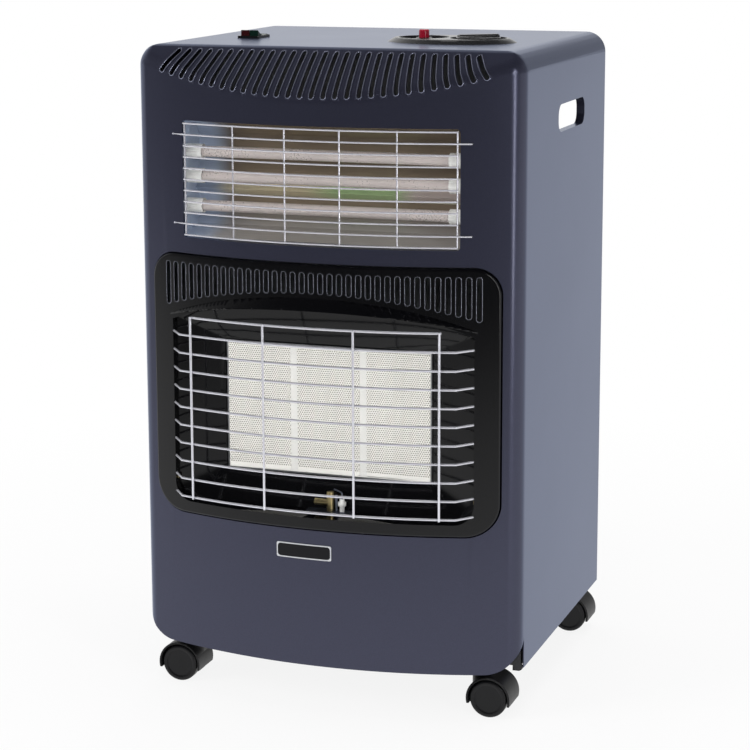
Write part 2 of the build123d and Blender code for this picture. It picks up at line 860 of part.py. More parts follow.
def make_rear_cover():
    y1 = cover_face_y()
    cover = block(-cover_half, cover_half, y1 - cover_lip, y1, cover_low, cover_high)
    inner = cover_half - sheet
    cover = cover - block(-inner, inner, y1 - cover_lip - 1, y1 - sheet, cover_low + sheet, cover_high - sheet)
    for side in (-1, 1):
        x0 = side * cover_tab_x - cover_tab_width / 2
        tab = block(x0, x0 + cover_tab_width, y1 - cover_lip, y1 - cover_lip + sheet,
                    cover_low - cover_tab_drop, cover_low + 1)
        cover = cover + tab
    cuts = []
    for row in range(cover_slot_rows):
        for z in (cover_low + 45, cover_high - 55 - (cover_slot_rows - 1) * cover_slot_pitch):
            height = z + row * cover_slot_pitch
            cuts.append(through_front(slot_face(-cover_slot_length / 2, height, cover_slot_length / 2, height, 5),
                                      y1 - 5, y1 + 1))
    pull = rod((0, y1 - 20, cover_high), (0, y1 + 1, cover_high), cover_pull_radius)
    return cover - cuts - pull


# ---------------------------------------------------------------- burner
def make_plaque(x):
    y0, y1 = plaque_front_y, plaque_front_y + plaque_thickness
    tile = block(x - plaque_width / 2, x + plaque_width / 2, y0, y1, plaque_low, plaque_high)
    return fillet(tile.edges().filter_by(Axis.Y), 1.5)


def make_plaque_gasket():
    """Ceramic fibre round and between the plaques."""
    x = plaque_span / 2 + gasket_margin
    y0, y1 = plaque_front_y + 0.6, plaque_front_y + plaque_thickness
    gasket = block(-x, x, y0, y1, plaque_low - gasket_margin, plaque_high + gasket_margin)
    for tile_x in plaque_xs:
        w = plaque_width / 2
        gasket = gasket - block(tile_x - w, tile_x + w, y0 - 1, y1 + 1, plaque_low, plaque_high)
    return gasket


def make_burner_box():
    """Mixing chamber behind the plaques, one cell for each."""
    y0, y1 = plaque_front_y, box_back_y
    box = block(-box_half, box_half, y0, y1, box_low, box_high)
    cell_y = plaque_front_y + plaque_thickness
    box = box - block(-box_half + box_sheet, box_half - box_sheet, y0 - 1, cell_y, box_low + box_sheet,
                      box_high - box_sheet)
    for x in plaque_xs:
        w = plaque_width / 2 - 3
        box = box - block(x - w, x + w, cell_y - 1, y1 - box_sheet, plaque_low + 3, plaque_high - 3)
        box = box - post(x, mixer_y, box_low - 1, plaque_low + 4, mixer_radius - mixer_wall)
    for x in (plaque_xs[0], plaque_xs[-1]):
        box = box + block(x - 10, x + 10, y1 - box_sheet / 2, partition_y, box_high - 40, box_high - 20)
    return box


def make_mixer_tubes():
    """Venturi tubes that lead gas and air up to the cells."""
    tubes = []
    for x in plaque_xs:
        outer = post(x, mixer_y, mixer_low, box_low, mixer_radius)
        bell = Pos(x, mixer_y, mixer_low - mixer_bell_height / 2) * Cone(mixer_bell, mixer_radius, mixer_bell_height)
        inner = post(x, mixer_y, mixer_low - 1, box_low + 1, mixer_radius - mixer_wall)
        flare = Pos(x, mixer_y, mixer_low - mixer_bell_height / 2) * Cone(
            mixer_bell - mixer_wall, mixer_radius - mixer_wall, mixer_bell_height)
        tubes.append(outer + bell - inner - flare)
    return Compound(children=tubes)


def make_gas_manifold():
    reach = plaque_xs[-1] + manifold_overhang
    pipe = rod((-reach, mixer_y, manifold_z), (reach, mixer_y, manifold_z), manifold_radius)
    bore = rod((3 - reach, mixer_y, manifold_z), (reach + 1, mixer_y, manifold_z), manifold_bore)
    manifold = pipe - bore
    for x in plaque_xs:
        seat = post(x, mixer_y, manifold_z, manifold_z + manifold_radius + 3, injector_radius + 2)
        manifold = manifold + (seat - rod((-reach, mixer_y, manifold_z), (reach, mixer_y, manifold_z), manifold_bore))
        manifold = manifold - post(x, mixer_y, manifold_z, manifold_z + 30, injector_radius + running_fit)
    for side in (-1, 1):
        x = side * (reach - 8)
        strap = block(x - 6, x + 6, mixer_y + manifold_radius - 2, partition_y, manifold_z - 5, manifold_z + 5)
        manifold = manifold + (strap - rod((-reach, mixer_y, manifold_z), (reach + 1, mixer_y, manifold_z),
                                           manifold_radius - 1))
    return manifold


def make_gas_injectors():
    jets = []
    for x in plaque_xs:
        low = manifold_z + manifold_bore
        jet = post(x, mixer_y, low, low + injector_height, injector_radius)
        collar = post(x, mixer_y, manifold_z + manifold_radius + 3, manifold_z + manifold_radius + 6,
                      injector_radius + 1.5)
        tip = Pos(x, mixer_y, low + injector_height + 2) * Cone(injector_radius, 2, 4)
        bore = post(x, mixer_y, low - 1, low + injector_height + 5, injector_jet)
        jets.append(jet + collar + tip - bore)
    return Compound(children=jets)


# ---------------------------------------------------------------- pilot
def pilot_floor():
    return mouth_low + pilot_plate


def make_pilot_bracket():
    y0, y1 = pilot_y - 8, pilot_y + 5
    plate = block(pilot_x - pilot_plate_half, pilot_x + pilot_plate_half, y0, y1, mouth_low, pilot_floor())
    return plate - post(pilot_x, pilot_y, mouth_low - 1, pilot_floor() + 1, pilot_pipe_radius + 1.2)


def make_pilot_burner():
    """Upright pilot body with a flame tube to the left."""
    low = pilot_floor()
    body = post(pilot_x, pilot_y, low, low + pilot_height, pilot_radius)
    mid = low + pilot_height * 0.42
    tube = rod((pilot_x, pilot_y, mid), (pilot_x - 17, pilot_y, mid), flame_tube_radius)
    bore = rod((pilot_x - 6, pilot_y, mid), (pilot_x - 18, pilot_y, mid), flame_tube_radius - 1)
    feed = post(pilot_x, pilot_y, low - 1, low + 6, pilot_pipe_radius + running_fit)
    return body + tube - bore - feed


def make_electrode_insulator():
    low = pilot_floor()
    body = post(insulator_x, pilot_y, low, low + 13, insulator_radius)
    body = body + post(insulator_x, pilot_y, low + 6, low + 10, insulator_radius + 1.8)
    return body - post(insulator_x, pilot_y, low - 1, low + 14, electrode_wire + 0.02)


def make_electrode_wire():
    low = pilot_floor()
    points = [(insulator_x, pilot_y, low + 1), (insulator_x, pilot_y, low + 20), (insulator_x - 9, pilot_y, low + 23)]
    return bent_tube(points, 2.5, electrode_wire)


def make_thermocouple():
    low = pilot_floor()
    return post(thermo_x, pilot_y, low, low + 17, thermo_radius)


# ---------------------------------------------------------------- gas train
def pipe_height():
    return valve_low + 18


def pilot_pipe_height():
    return valve_low + 8


def make_gas_valve():
    w, length = valve_width / 2, valve_length / 2
    body = block(valve_x - w, valve_x + w, valve_y - length, valve_y + length, valve_low, valve_high)
    body = fillet(body.edges().filter_by(Axis.Z), 5)
    body = body + post(valve_x, valve_y, valve_high - 1, valve_neck_top, valve_neck_radius)
    body = body - post(valve_x, valve_y, plunger_z - knob_travel - 1, valve_neck_top + 1, plunger_radius + running_fit)
    body = body - post(valve_x, valve_y, spindle_low - knob_travel - 1, valve_neck_top, spindle_radius + slide_fit)
    body = body - rod((valve_x - 8, valve_y - length - 1, pilot_pipe_height()),
                      (valve_x - 8, valve_y - length + 8, pilot_pipe_height()), pilot_pipe_radius + running_fit)
    body = body - rod((valve_x + 6, valve_y - length - 1, pipe_height()),
                      (valve_x + 6, valve_y - length + 8, pipe_height()), pipe_radius + running_fit)
    inlet = rod((valve_x, valve_y + length - 8, valve_low + 12), (valve_x, valve_y + length + 1, valve_low + 12),
                nozzle_radius + running_fit)
    return body - inlet


def make_valve_bracket():
    """Strap that hangs the valve under the casing's top."""
    w = valve_width / 2 + bracket_sheet + 12
    top = cabinet_top - sheet
    neck = valve_neck_radius + seam_clearance
    bar = block(valve_x - w, valve_x + w, valve_y - 12, valve_y + 12, valve_high, valve_high + bracket_sheet)
    bar = bar - post(valve_x, valve_y, valve_high - 1, valve_high + 5, neck)
    for side in (-1, 1):
        x0, x1 = sorted((valve_x + side * w, valve_x + side * (w - bracket_sheet)))
        bar = bar + block(x0, x1, valve_y - 12, valve_y + 12, valve_high, top)
        f0, f1 = sorted((valve_x + side * (w - bracket_sheet), valve_x + side * (w - 12)))
        bar = bar + block(f0, f1, valve_y - 12, valve_y + 12, top - bracket_sheet, top)
    return bar


def make_hose_nozzle():
    """Barbed inlet for the gas hose, facing the bottle space."""
    z = valve_low + 12
    y0 = valve_y + valve_length / 2 - 8
    nozzle = rod((valve_x, y0, z), (valve_x, y0 + nozzle_length, z), nozzle_radius)
    nut_y = valve_y + valve_length / 2
    nut = Pos(valve_x, nut_y + 4, z) * Rot(90, 0, 0) * extrude(RegularPolygon(9, 6), 4, both=True)
    nozzle = nozzle + nut
    for i in range(3):
        y = nut_y + 14 + i * 6
        ridge = Pos(valve_x, y, z) * Rot(90, 0, 0) * Cone(nozzle_radius, nozzle_radius + 0.9, 4)
        nozzle = nozzle + ridge
    return nozzle - rod((valve_x, y0 - 1, z), (valve_x, y0 + nozzle_length + 1, z), nozzle_bore)


def make_burner_pipe():
    """Main gas pipe from the valve down to the manifold."""
    z = pipe_height()
    y = valve_y - valve_length / 2 + 7
    end_x = plaque_xs[-1] + manifold_overhang + 2
    points = [
        (valve_x + 6, y, z),
        (valve_x + 6, partition_y + 28, z),
        (pipe_run_x, partition_y + 28, z),
        (pipe_run_x, mixer_y, z),
        (pipe_run_x, mixer_y, manifold_z),
        (end_x - 12, mixer_y, manifold_z),
    ]
    return bent_tube(points, pipe_bend, pipe_radius, pipe_wall)


def make_pilot_pipe():
    z = pilot_pipe_height()
    y = valve_y - valve_length / 2 + 7
    low = mouth_low - 28
    points = [
        (valve_x - 8, y, z),
        (valve_x - 8, partition_y + 14, z),
        (pilot_run_x, partition_y + 14, z),
        (pilot_run_x, pilot_run_y, z),
        (pilot_run_x, pilot_run_y, low),
        (pilot_x + 30, pilot_run_y, low),
        (pilot_x + 30, pilot_y, low),
        (pilot_x, pilot_y, low),
        (pilot_x, pilot_y, pilot_floor() + 5),
    ]
    return bent_tube(points, pipe_bend / 2, pilot_pipe_radius)


# ---------------------------------------------------------------- controls
def make_control_plate():
    low = Pos(plate_x, plate_y, cabinet_top) * Ellipse(plate_length / 2, plate_depth / 2)
    high = Pos(plate_x, plate_y, cabinet_top + plate_height) * Ellipse(
        plate_length / 2 - plate_bevel, plate_depth / 2 - plate_bevel)
    plate = loft([low, high])
    top = cabinet_top + plate_height
    plate = plate - post(button_x, plate_y, cabinet_top + button_dish_floor, top + 1, button_dish_radius)
    plate = plate - post(button_x, plate_y, cabinet_top - 1, top + 1, button_radius + slide_fit)
    plate = plate - post(valve_x, plate_y, cabinet_top - 1, top + 1, knob_dish_radius)
    collar = post(button_x, plate_y, cabinet_top, cabinet_top + 4, button_radius + 3)
    return plate + (collar - post(button_x, plate_y, cabinet_top - 1, top + 1, button_radius + slide_fit))


def make_piezo_button():
    body = post(button_x, plate_y, button_top - button_length, button_top, button_radius)
    return fillet(body.edges().filter_by(GeomType.CIRCLE).sort_by(Axis.Z)[-1:], 1.4)


def make_piezo_igniter():
    top = cabinet_top - sheet
    body = post(button_x, plate_y, top - igniter_length, top, igniter_radius)
    bore = post(button_x, plate_y, button_top - button_length - button_travel - 1, top + 1, button_radius + slide_fit)
    return body - bore


def make_control_knob():
    disc = post(valve_x, valve_y, knob_low, knob_low + knob_disc, knob_radius)
    disc = fillet(disc.edges().filter_by(GeomType.CIRCLE).sort_by(Axis.Z)[-1:], 1.2)
    blade = Pos(valve_x, valve_y, (knob_low + knob_top) / 2) * Rot(0, 0, 35) * Box(
        2 * knob_radius - 3, knob_blade, knob_top - knob_low)
    blade = fillet(blade.edges().group_by(Axis.Z)[-1], 2.0)
    blade = blade & post(valve_x, valve_y, knob_low, knob_top, knob_radius)
    socket = post(valve_x, valve_y, knob_low - 1, knob_low + knob_socket_depth, spindle_radius + 0.02)
    return disc + blade - socket


def make_valve_spindle():
    spindle = post(valve_x, valve_y, spindle_low, knob_low + knob_socket_depth - 0.3, spindle_radius)
    return spindle + post(valve_x, valve_y, plunger_z + plunger_length, plunger_z + plunger_length + 1.5,
                          spindle_radius + 1.5)


def make_valve_plunger():
    ring = post(valve_x, valve_y, plunger_z, plunger_z + plunger_length, plunger_radius)
    return ring - post(valve_x, valve_y, plunger_z - 1, plunger_z + plunger_length + 1, spindle_radius + running_fit)


def rocker_places():
    step = (rocker_width + rocker_gap) / 2
    return (rocker_x - step, rocker_x + step)


def make_switch_housing():
    """Bezel on the casing's top with the switch body under it."""
    z0, z1 = cabinet_top, cabinet_top + bezel_height
    w, length = bezel_width / 2, bezel_length / 2
    bezel = block(rocker_x - w, rocker_x + w, rocker_y - length, rocker_y + length, z0, z1)
    bezel = fillet(bezel.edges().filter_by(Axis.Z), 2)
    bw, bl = w - 1.1, length - 1.1
    body = block(rocker_x - bw, rocker_x + bw, rocker_y - bl, rocker_y + bl, z0 - switch_body_depth, z0 + 1)
    housing = bezel + body
    room_w = rocker_width + rocker_gap / 2 + 0.3
    room_l = rocker_length / 2 + 1.2
    housing = housing - block(rocker_x - room_w, rocker_x + room_w, rocker_y - room_l, rocker_y + room_l,
                              z0 - 9, z1 + 1)
    pin = rod((rocker_x - room_w - 0.5, rocker_y, rocker_pivot_z), (rocker_x + room_w + 0.5, rocker_y, rocker_pivot_z),
              1.2)
    return housing + pin


def make_rocker(x):
    """Rocker with a hollowed top, drawn level and then tipped to its rest."""
    length = rocker_length / 2
    top = cabinet_top + bezel_height + rocker_rise / 2 - rocker_pivot_z
    low = cabinet_top - 4.5 - rocker_pivot_z
    side = [
        Polyline((-length, top), (-length + 1.5, low + 2), (-4, low), (4, low), (length - 1.5, low + 2), (length, top)),
        ThreePointArc((length, top), (0, top - 3.2), (-length, top)),
    ]
    cap = through_side(Plane.YZ * make_face(side), -rocker_width / 2, rocker_width / 2)
    cap = cap - rod((-20, 0, 0), (20, 0, 0), 1.2 + running_fit)
    return Pos(x, rocker_y, rocker_pivot_z) * Rot(-rocker_tilt, 0, 0) * cap


# ---------------------------------------------------------------- electric heater
def reflector_cavity():
    """Side outline of the reflector's hollow, with a ridge between the lower tubes."""
    low, high = quartz_low, quartz_high
    y0, y1 = quartz_flange_y, reflector_back_y
    ridge_z = (tube_heights[1] + tube_heights[2]) / 2
    s = reflector_shoulder
    outline = Polyline(
        (y0, high), (y1 - s, high - s), (y1, high - 2 * s), (y1, ridge_z + ridge_half),
        (y1 - ridge_depth, ridge_z), (y1, ridge_z - ridge_half), (y1, low + 2 * s), (y1 - s, low + s), (y0, low),
        close=True)
    return make_face(outline)


def make_quartz_reflector():
    cavity = reflector_cavity()
    skin = offset(cavity, reflector_sheet, kind=Kind.INTERSECTION)
    trough = through_side(Plane.YZ * (skin - cavity), -reflector_half, reflector_half)
    return trough - block(-far, far, -far, quartz_flange_y, 0, tall)


def make_reflector_ends():
    ends = []
    for side in (-1, 1):
        x0, x1 = sorted((side * reflector_half, side * (reflector_half + reflector_sheet)))
        m = end_plate_margin
        plate = block(x0, x1, quartz_flange_y, reflector_back_y + m, quartz_low - m, quartz_high + m)
        for z in tube_heights:
            plate = plate - rod((x0 - 1, tube_y, z), (x1 + 1, tube_y, z), cap_radius + 0.05)
        ends.append(plate)
    return Compound(children=ends)


def make_quartz_tubes():
    tubes = []
    for z in tube_heights:
        tube = rod((-tube_half_length, tube_y, z), (tube_half_length, tube_y, z), tube_radius)
        tubes.append(tube - rod((-far, tube_y, z), (far, tube_y, z), tube_radius - tube_wall))
    return Compound(children=tubes)


def make_ceramic_caps():
    caps = []
    for z in tube_heights:
        for side in (-1, 1):
            cap = rod((side * cap_inner_x, tube_y, z), (side * cap_outer_x, tube_y, z), cap_radius)
            cap = cap - rod((side * (cap_inner_x - 1), tube_y, z), (side * (tube_half_length + 0.5), tube_y, z),
                            tube_radius + running_fit)
            caps.append(cap - rod((0, tube_y, z), (side * far, tube_y, z), coil_radius + 0.02))
    return Compound(children=caps)


def make_heating_coils():
    ends = cap_outer_x + 4
    coils = []
    for z in tube_heights:
        coils.append(rod((-ends, tube_y, z), (ends, tube_y, z), coil_radius))
    return Compound(children=coils)


# ---------------------------------------------------------------- badge
def make_badge_plate():
    face = Plane.XZ * Pos(badge_x, badge_z) * RectangleRounded(badge_width, badge_height, 1.5)
    return (through_front(face, -far, 0) & bow(badge_proud)) - bow(0)


# ---------------------------------------------------------------- casters
def make_caster_yoke():
    """Fender, web and swivel boss about a stem at the origin, with the fixed axle as a second solid."""
    ax = caster_offset
    outer = wheel_radius + fender_gap + fender_wall
    w = caster_width / 2
    barrel = rod((ax, -w, wheel_radius), (ax, w, wheel_radius), outer)
    room = []
    for s in (-1, 1):
        room.append(rod((ax, s * caster_web / 2, wheel_radius), (ax, s * (w + 1), wheel_radius),
                        wheel_radius + fender_gap))
    body = barrel + post(0, 0, wheel_radius / 2, boss_top, boss_radius)
    body = body - room
    drop = wheel_radius - (wheel_radius + fender_gap) * sin(radians(fender_open))
    body = body - block(ax - 60, ax + 60, -w - 1, w + 1, -60, drop)
    body = body - post(0, 0, stem_low - 1, boss_top + 1, stem_radius + running_fit)
    body = body - rod((ax, -w, wheel_radius), (ax, w, wheel_radius), axle_radius + 0.01)
    reach = caster_web / 2 + wheel_gap + wheel_width - axle_cover - 0.3
    axle = rod((ax, -reach, wheel_radius), (ax, reach, wheel_radius), axle_radius)
    return Compound(children=[*body.solids(), axle])


def make_wheel(face):
    """One wheel of a pair: face is -1 in front of the web, +1 behind it."""
    ax = caster_offset
    inner = face * (caster_web / 2 + wheel_gap)
    outer = inner + face * wheel_width
    wheel = rod((ax, min(inner, outer), wheel_radius), (ax, max(inner, outer), wheel_radius), wheel_radius)
    wheel = fillet(wheel.edges().filter_by(GeomType.CIRCLE), wheel_edge)
    dish = rod((ax, outer - face, wheel_radius), (ax, outer + face, wheel_radius), wheel_radius - 5)
    return wheel - dish - rod((ax, inner - face, wheel_radius), (ax, outer - face * axle_cover, wheel_radius),
                              axle_radius + running_fit)


# ---------------------------------------------------------------- whole part
def main():
    os.makedirs("parts", exist_ok=True)
    save("front_panel", make_front_panel())
    save("side_casing", make_side_casing())
    save("base_pan", make_base_pan())
    save("partition", make_partition())
    save("rear_cover", make_rear_cover())
    save("burner_surround", make_burner_surround())
    save("heat_deflector", make_heat_deflector())
    save("burner_grille", make_burner_grille())
    save("mouth_screws", make_mouth_screws())
    save("burner_shroud", make_burner_shroud())
    for name, x in zip(("left", "centre", "right"), plaque_xs):
        save(f"plaque_{name}", make_plaque(x))
    save("plaque_gasket", make_plaque_gasket())
    save("burner_box", make_burner_box())
    save("mixer_tubes", make_mixer_tubes())
    save("gas_manifold", make_gas_manifold())
    save("gas_injectors", make_gas_injectors())
    save("gas_valve", make_gas_valve())
    save("valve_bracket", make_valve_bracket())
    save("hose_nozzle", make_hose_nozzle())
    save("burner_pipe", make_burner_pipe())
    save("pilot_pipe", make_pilot_pipe())
    save("pilot_bracket", make_pilot_bracket())
    save("pilot_burner", make_pilot_burner())
    save("electrode_insulator", make_electrode_insulator())
    save("electrode_wire", make_electrode_wire())
    save("thermocouple", make_thermocouple())
    save("control_plate", make_control_plate())
    save("piezo_igniter", make_piezo_igniter())
    save("piezo_button", make_piezo_button())
    save("control_knob", make_control_knob())
    save("valve_spindle", make_valve_spindle())
    save("valve_plunger", make_valve_plunger())
    save("switch_housing", make_switch_housing())
    for name, x in zip(("left", "right"), rocker_places()):
        save(f"rocker_{name}", make_rocker(x))
    save("quartz_reflector", make_quartz_reflector())
    save("reflector_ends", make_reflector_ends())
    save("quartz_tubes", make_quartz_tubes())
    save("ceramic_caps", make_ceramic_caps())
    save("heating_coils", make_heating_coils())
    save("quartz_guard", make_quartz_guard())
    save("cable_gland", make_cable_gland())
    save("badge_plate", make_badge_plate())
    save("caster_sockets", make_caster_sockets())
    save("caster_stems", make_caster_stems())
    for name, (x, y, side) in casters.items():
        place = Pos(x, y, 0) * Rot(0, 0, 0 if side > 0 else 180)
        save(f"caster_{name}", place * make_caster_yoke())
        save(f"wheel_{name}_front", place * make_wheel(-side))
        save(f"wheel_{name}_back", place * make_wheel(side))


main()
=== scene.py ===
import json
import math

import bmesh
import bpy
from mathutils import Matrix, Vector

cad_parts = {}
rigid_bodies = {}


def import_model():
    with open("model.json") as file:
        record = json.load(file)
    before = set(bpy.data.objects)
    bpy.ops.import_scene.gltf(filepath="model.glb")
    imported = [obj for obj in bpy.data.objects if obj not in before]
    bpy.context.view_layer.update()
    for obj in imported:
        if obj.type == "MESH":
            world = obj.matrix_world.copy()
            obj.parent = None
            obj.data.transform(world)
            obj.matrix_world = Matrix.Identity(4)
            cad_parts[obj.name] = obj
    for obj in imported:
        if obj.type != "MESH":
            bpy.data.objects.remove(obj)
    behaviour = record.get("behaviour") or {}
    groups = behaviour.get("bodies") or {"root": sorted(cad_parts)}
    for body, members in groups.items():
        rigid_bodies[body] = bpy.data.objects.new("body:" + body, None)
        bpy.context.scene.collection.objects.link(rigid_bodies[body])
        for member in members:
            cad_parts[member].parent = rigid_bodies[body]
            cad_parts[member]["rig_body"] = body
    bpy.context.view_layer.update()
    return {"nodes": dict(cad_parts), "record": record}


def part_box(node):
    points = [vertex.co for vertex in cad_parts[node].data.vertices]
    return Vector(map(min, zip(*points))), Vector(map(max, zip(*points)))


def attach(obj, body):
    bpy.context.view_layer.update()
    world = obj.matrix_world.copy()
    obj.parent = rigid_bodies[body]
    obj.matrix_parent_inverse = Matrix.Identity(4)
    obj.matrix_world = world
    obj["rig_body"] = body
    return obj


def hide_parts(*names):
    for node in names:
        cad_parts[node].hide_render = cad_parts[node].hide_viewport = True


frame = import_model()
scene = bpy.context.scene
scene.view_settings.view_transform = "Standard"

# Metres. X to the right, Y to the back, Z up, origin on the floor under the middle of the heater.
casing_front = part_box("side_casing")[0].y
half_width = 0.210
bow_sag = 0.0425             # middle of the bow ahead of its ends
bow_radius = (half_width ** 2 + bow_sag ** 2) / (2 * bow_sag)
bow_reach = 0.060            # middle of the bow ahead of the casing's front edge
bow_axis_y = casing_front - bow_reach + bow_radius
slope_top = Vector((0.0, casing_front - 0.008, 0.692))
slope_low = Vector((0.0, casing_front - bow_reach, 0.646))
slope_bulge = 0.0025         # the louvre band bulges this far from its chord
slope_round = 0.018          # radius where the band meets the bow
middle = Vector((0.0, 0.0, 0.35))
weld_reach = 0.000004        # corners of a node nearer than this are one
lip_weld_reach = 0.00001     # the same for the lips
crease_angle = math.radians(32)
curve_reach = 0.00003        # a corner this near a curve lies on it
curve_facing = 0.985         # cosine of the angle up to which a face follows the curve

# Camera, fitted to the photograph
image_side = 750             # pixels
focal_pixels = 2242.376
shift_pixels = (-2, -60)
sensor_width = 36            # millimetres
camera_place = (0.79897, -2.27770, 0.85106)
camera_turn, camera_tilt, camera_roll = 0.3349, 0.1873, -0.0027

tube_height = (0.5887, 0.5632, 0.5320)
tube_y = casing_front - 0.020
coil_half_length = 0.128
coil_radius = 0.0016
coil_wire = 0.0005
coil_pitch = 0.0036

# The reflector's painted reflections change colour between each pair of places.
low_reflection_fade_z = (0.505, 0.530)
reflection_band_low_z = (0.5350, 0.5385)
reflection_band_high_z = (0.5565, 0.5600)
green_reflection_x = (-0.040, 0.010)
rose_reflection_x = (0.060, 0.095)
left_reflection_x = (-0.140, -0.112)

louvre_count = 29
louvre_width = 0.0046
louvre_top_span = 0.325      # between the outer louvres' upper ends
louvre_low_span = 0.350
louvre_top_z = 0.6875
louvre_low_z = 0.6485
louvre_low_rise = 0.021      # the outer louvres end this much higher
louvre_rim = 0.0011
louvre_lip_radius = 0.0005

slot_count = 35
slot_pitch = 0.010
slot_width = 0.005
slot_top_z = 0.4675
slot_low_z = 0.4515
slot_drop = 0.024            # the outer slots end this much lower
slot_rim = 0.0008
slot_lip_radius = 0.0004
surround_proud = 0.003
before_front = -0.3          # the lips' rings start here and are laid back on the sheet

port_pitch = 0.0025
port_row_share = 0.866       # rows are closer than the ports in a row
port_edge = (0.22, 0.36)     # a port fades out between these shares of the pitch
port_shade_share = 0.92            # share of the tile's colour that a port's painted shade hides
tile_pitch = 0.077
tiles_to_left = 10.5         # the tiles are counted from this many left of the middle
ports_half_width = 0.0352
ports_half_height = 0.0662
plaque_middle_z = 0.320

badge_corner = 0.0035
badge_border = 0.0012


# ---------------------------------------------------------------- camera, lights, floor
def place_camera():
    lens = bpy.data.cameras.new("camera")
    lens.sensor_width = sensor_width
    lens.lens = focal_pixels / image_side * sensor_width
    lens.shift_x, lens.shift_y = (shift / image_side for shift in shift_pixels)
    lens.clip_end = 50
    camera = bpy.data.objects.new("camera", lens)
    scene.collection.objects.link(camera)
    level = math.cos(camera_tilt)
    ahead = Vector((-math.sin(camera_turn) * level, math.cos(camera_turn) * level, -math.sin(camera_tilt)))
    camera.location = camera_place
    camera.rotation_euler = ahead.to_track_quat("-Z", "Y").to_euler()
    camera.rotation_euler.rotate_axis("Z", camera_roll)
    scene.camera = camera


def softbox(name, place, aim, width, height, watts, mirrored=False):
    """A soft rectangular lamp in watts. Only a mirrored one shows in gloss."""
    lamp = bpy.data.lights.new(name, "AREA")
    lamp.shape = "RECTANGLE"
    lamp.size, lamp.size_y, lamp.energy = width, height, watts
    box = bpy.data.objects.new(name, lamp)
    box.location = place
    box.rotation_euler = (Vector(aim) - Vector(place)).to_track_quat("-Z", "Y").to_euler()
    box.visible_glossy = mirrored
    scene.collection.objects.link(box)


def place_lights():
    softbox("key_left", (-1.9, -1.9, 1.5), middle, 1.3, 1.6, 36)
    softbox("front_fill", (0.5, -2.8, 1.7), middle, 1.2, 0.8, 15)
    softbox("strip_right", (1.75, -1.50, 0.75), (0, 0, 0.45), 0.30, 1.7, 14, mirrored=True)
    softbox("overhead", (0.1, 0.3, 2.4), (0, 0.05, 0.6), 1.9, 1.6, 34)


def ramp_node(tree, value, low, high, start, end):
    """Smooth step of a value from start at low to end at high."""
    node = tree.nodes.new("ShaderNodeMapRange")
    node.interpolation_type = "SMOOTHSTEP"
    for label, number in (("From Min", low), ("From Max", high), ("To Min", start), ("To Max", end)):
        node.inputs[label].default_value = number
    tree.links.new(value, node.inputs["Value"])
    return node.outputs[0]


def plain_world():
    """White behind the heater and a grey light on it.

    Reflections see white at the back that darkens to the front, overhead and to the right.
    """
    world = bpy.data.worlds.new("studio")
    world.use_nodes = True
    scene.world = world
    tree = world.node_tree
    tree.nodes.clear()
    rays = tree.nodes.new("ShaderNodeLightPath")
    seen = tree.nodes.new("ShaderNodeMath")
    seen.operation = "MAXIMUM"
    tree.links.new(rays.outputs["Is Camera Ray"], seen.inputs[0])
    tree.links.new(rays.outputs["Is Transmission Ray"], seen.inputs[1])
    place = tree.nodes.new("ShaderNodeTexCoord")
    split = tree.nodes.new("ShaderNodeSeparateXYZ")
    tree.links.new(place.outputs["Generated"], split.inputs[0])
    back = ramp_node(tree, split.outputs["Y"], -0.9, 0.85, 0.05, 1.0)
    sky = ramp_node(tree, split.outputs["Z"], 0.38, 0.92, 1.0, 0.08)
    left = ramp_node(tree, split.outputs["X"], -0.22, 0.10, 1.0, 0.45)
    depth = math_node(tree, "MULTIPLY", math_node(tree, "MULTIPLY", back, sky), left)
    shown = tree.nodes.new("ShaderNodeBackground")
    shown.inputs["Color"].default_value = (1, 1, 1, 1)
    mirrored = tree.nodes.new("ShaderNodeBackground")
    tree.links.new(depth, mirrored.inputs["Color"])
    light = tree.nodes.new("ShaderNodeBackground")
    light.inputs["Color"].default_value = (0.32, 0.32, 0.33, 1)
    gloss = tree.nodes.new("ShaderNodeMixShader")
    tree.links.new(rays.outputs["Is Glossy Ray"], gloss.inputs[0])
    tree.links.new(light.outputs[0], gloss.inputs[1])
    tree.links.new(mirrored.outputs[0], gloss.inputs[2])
    blend = tree.nodes.new("ShaderNodeMixShader")
    tree.links.new(seen.outputs[0], blend.inputs[0])
    tree.links.new(gloss.outputs[0], blend.inputs[1])
    tree.links.new(shown.outputs[0], blend.inputs[2])
    out = tree.nodes.new("ShaderNodeOutputWorld")
    tree.links.new(blend.outputs[0], out.inputs[0])


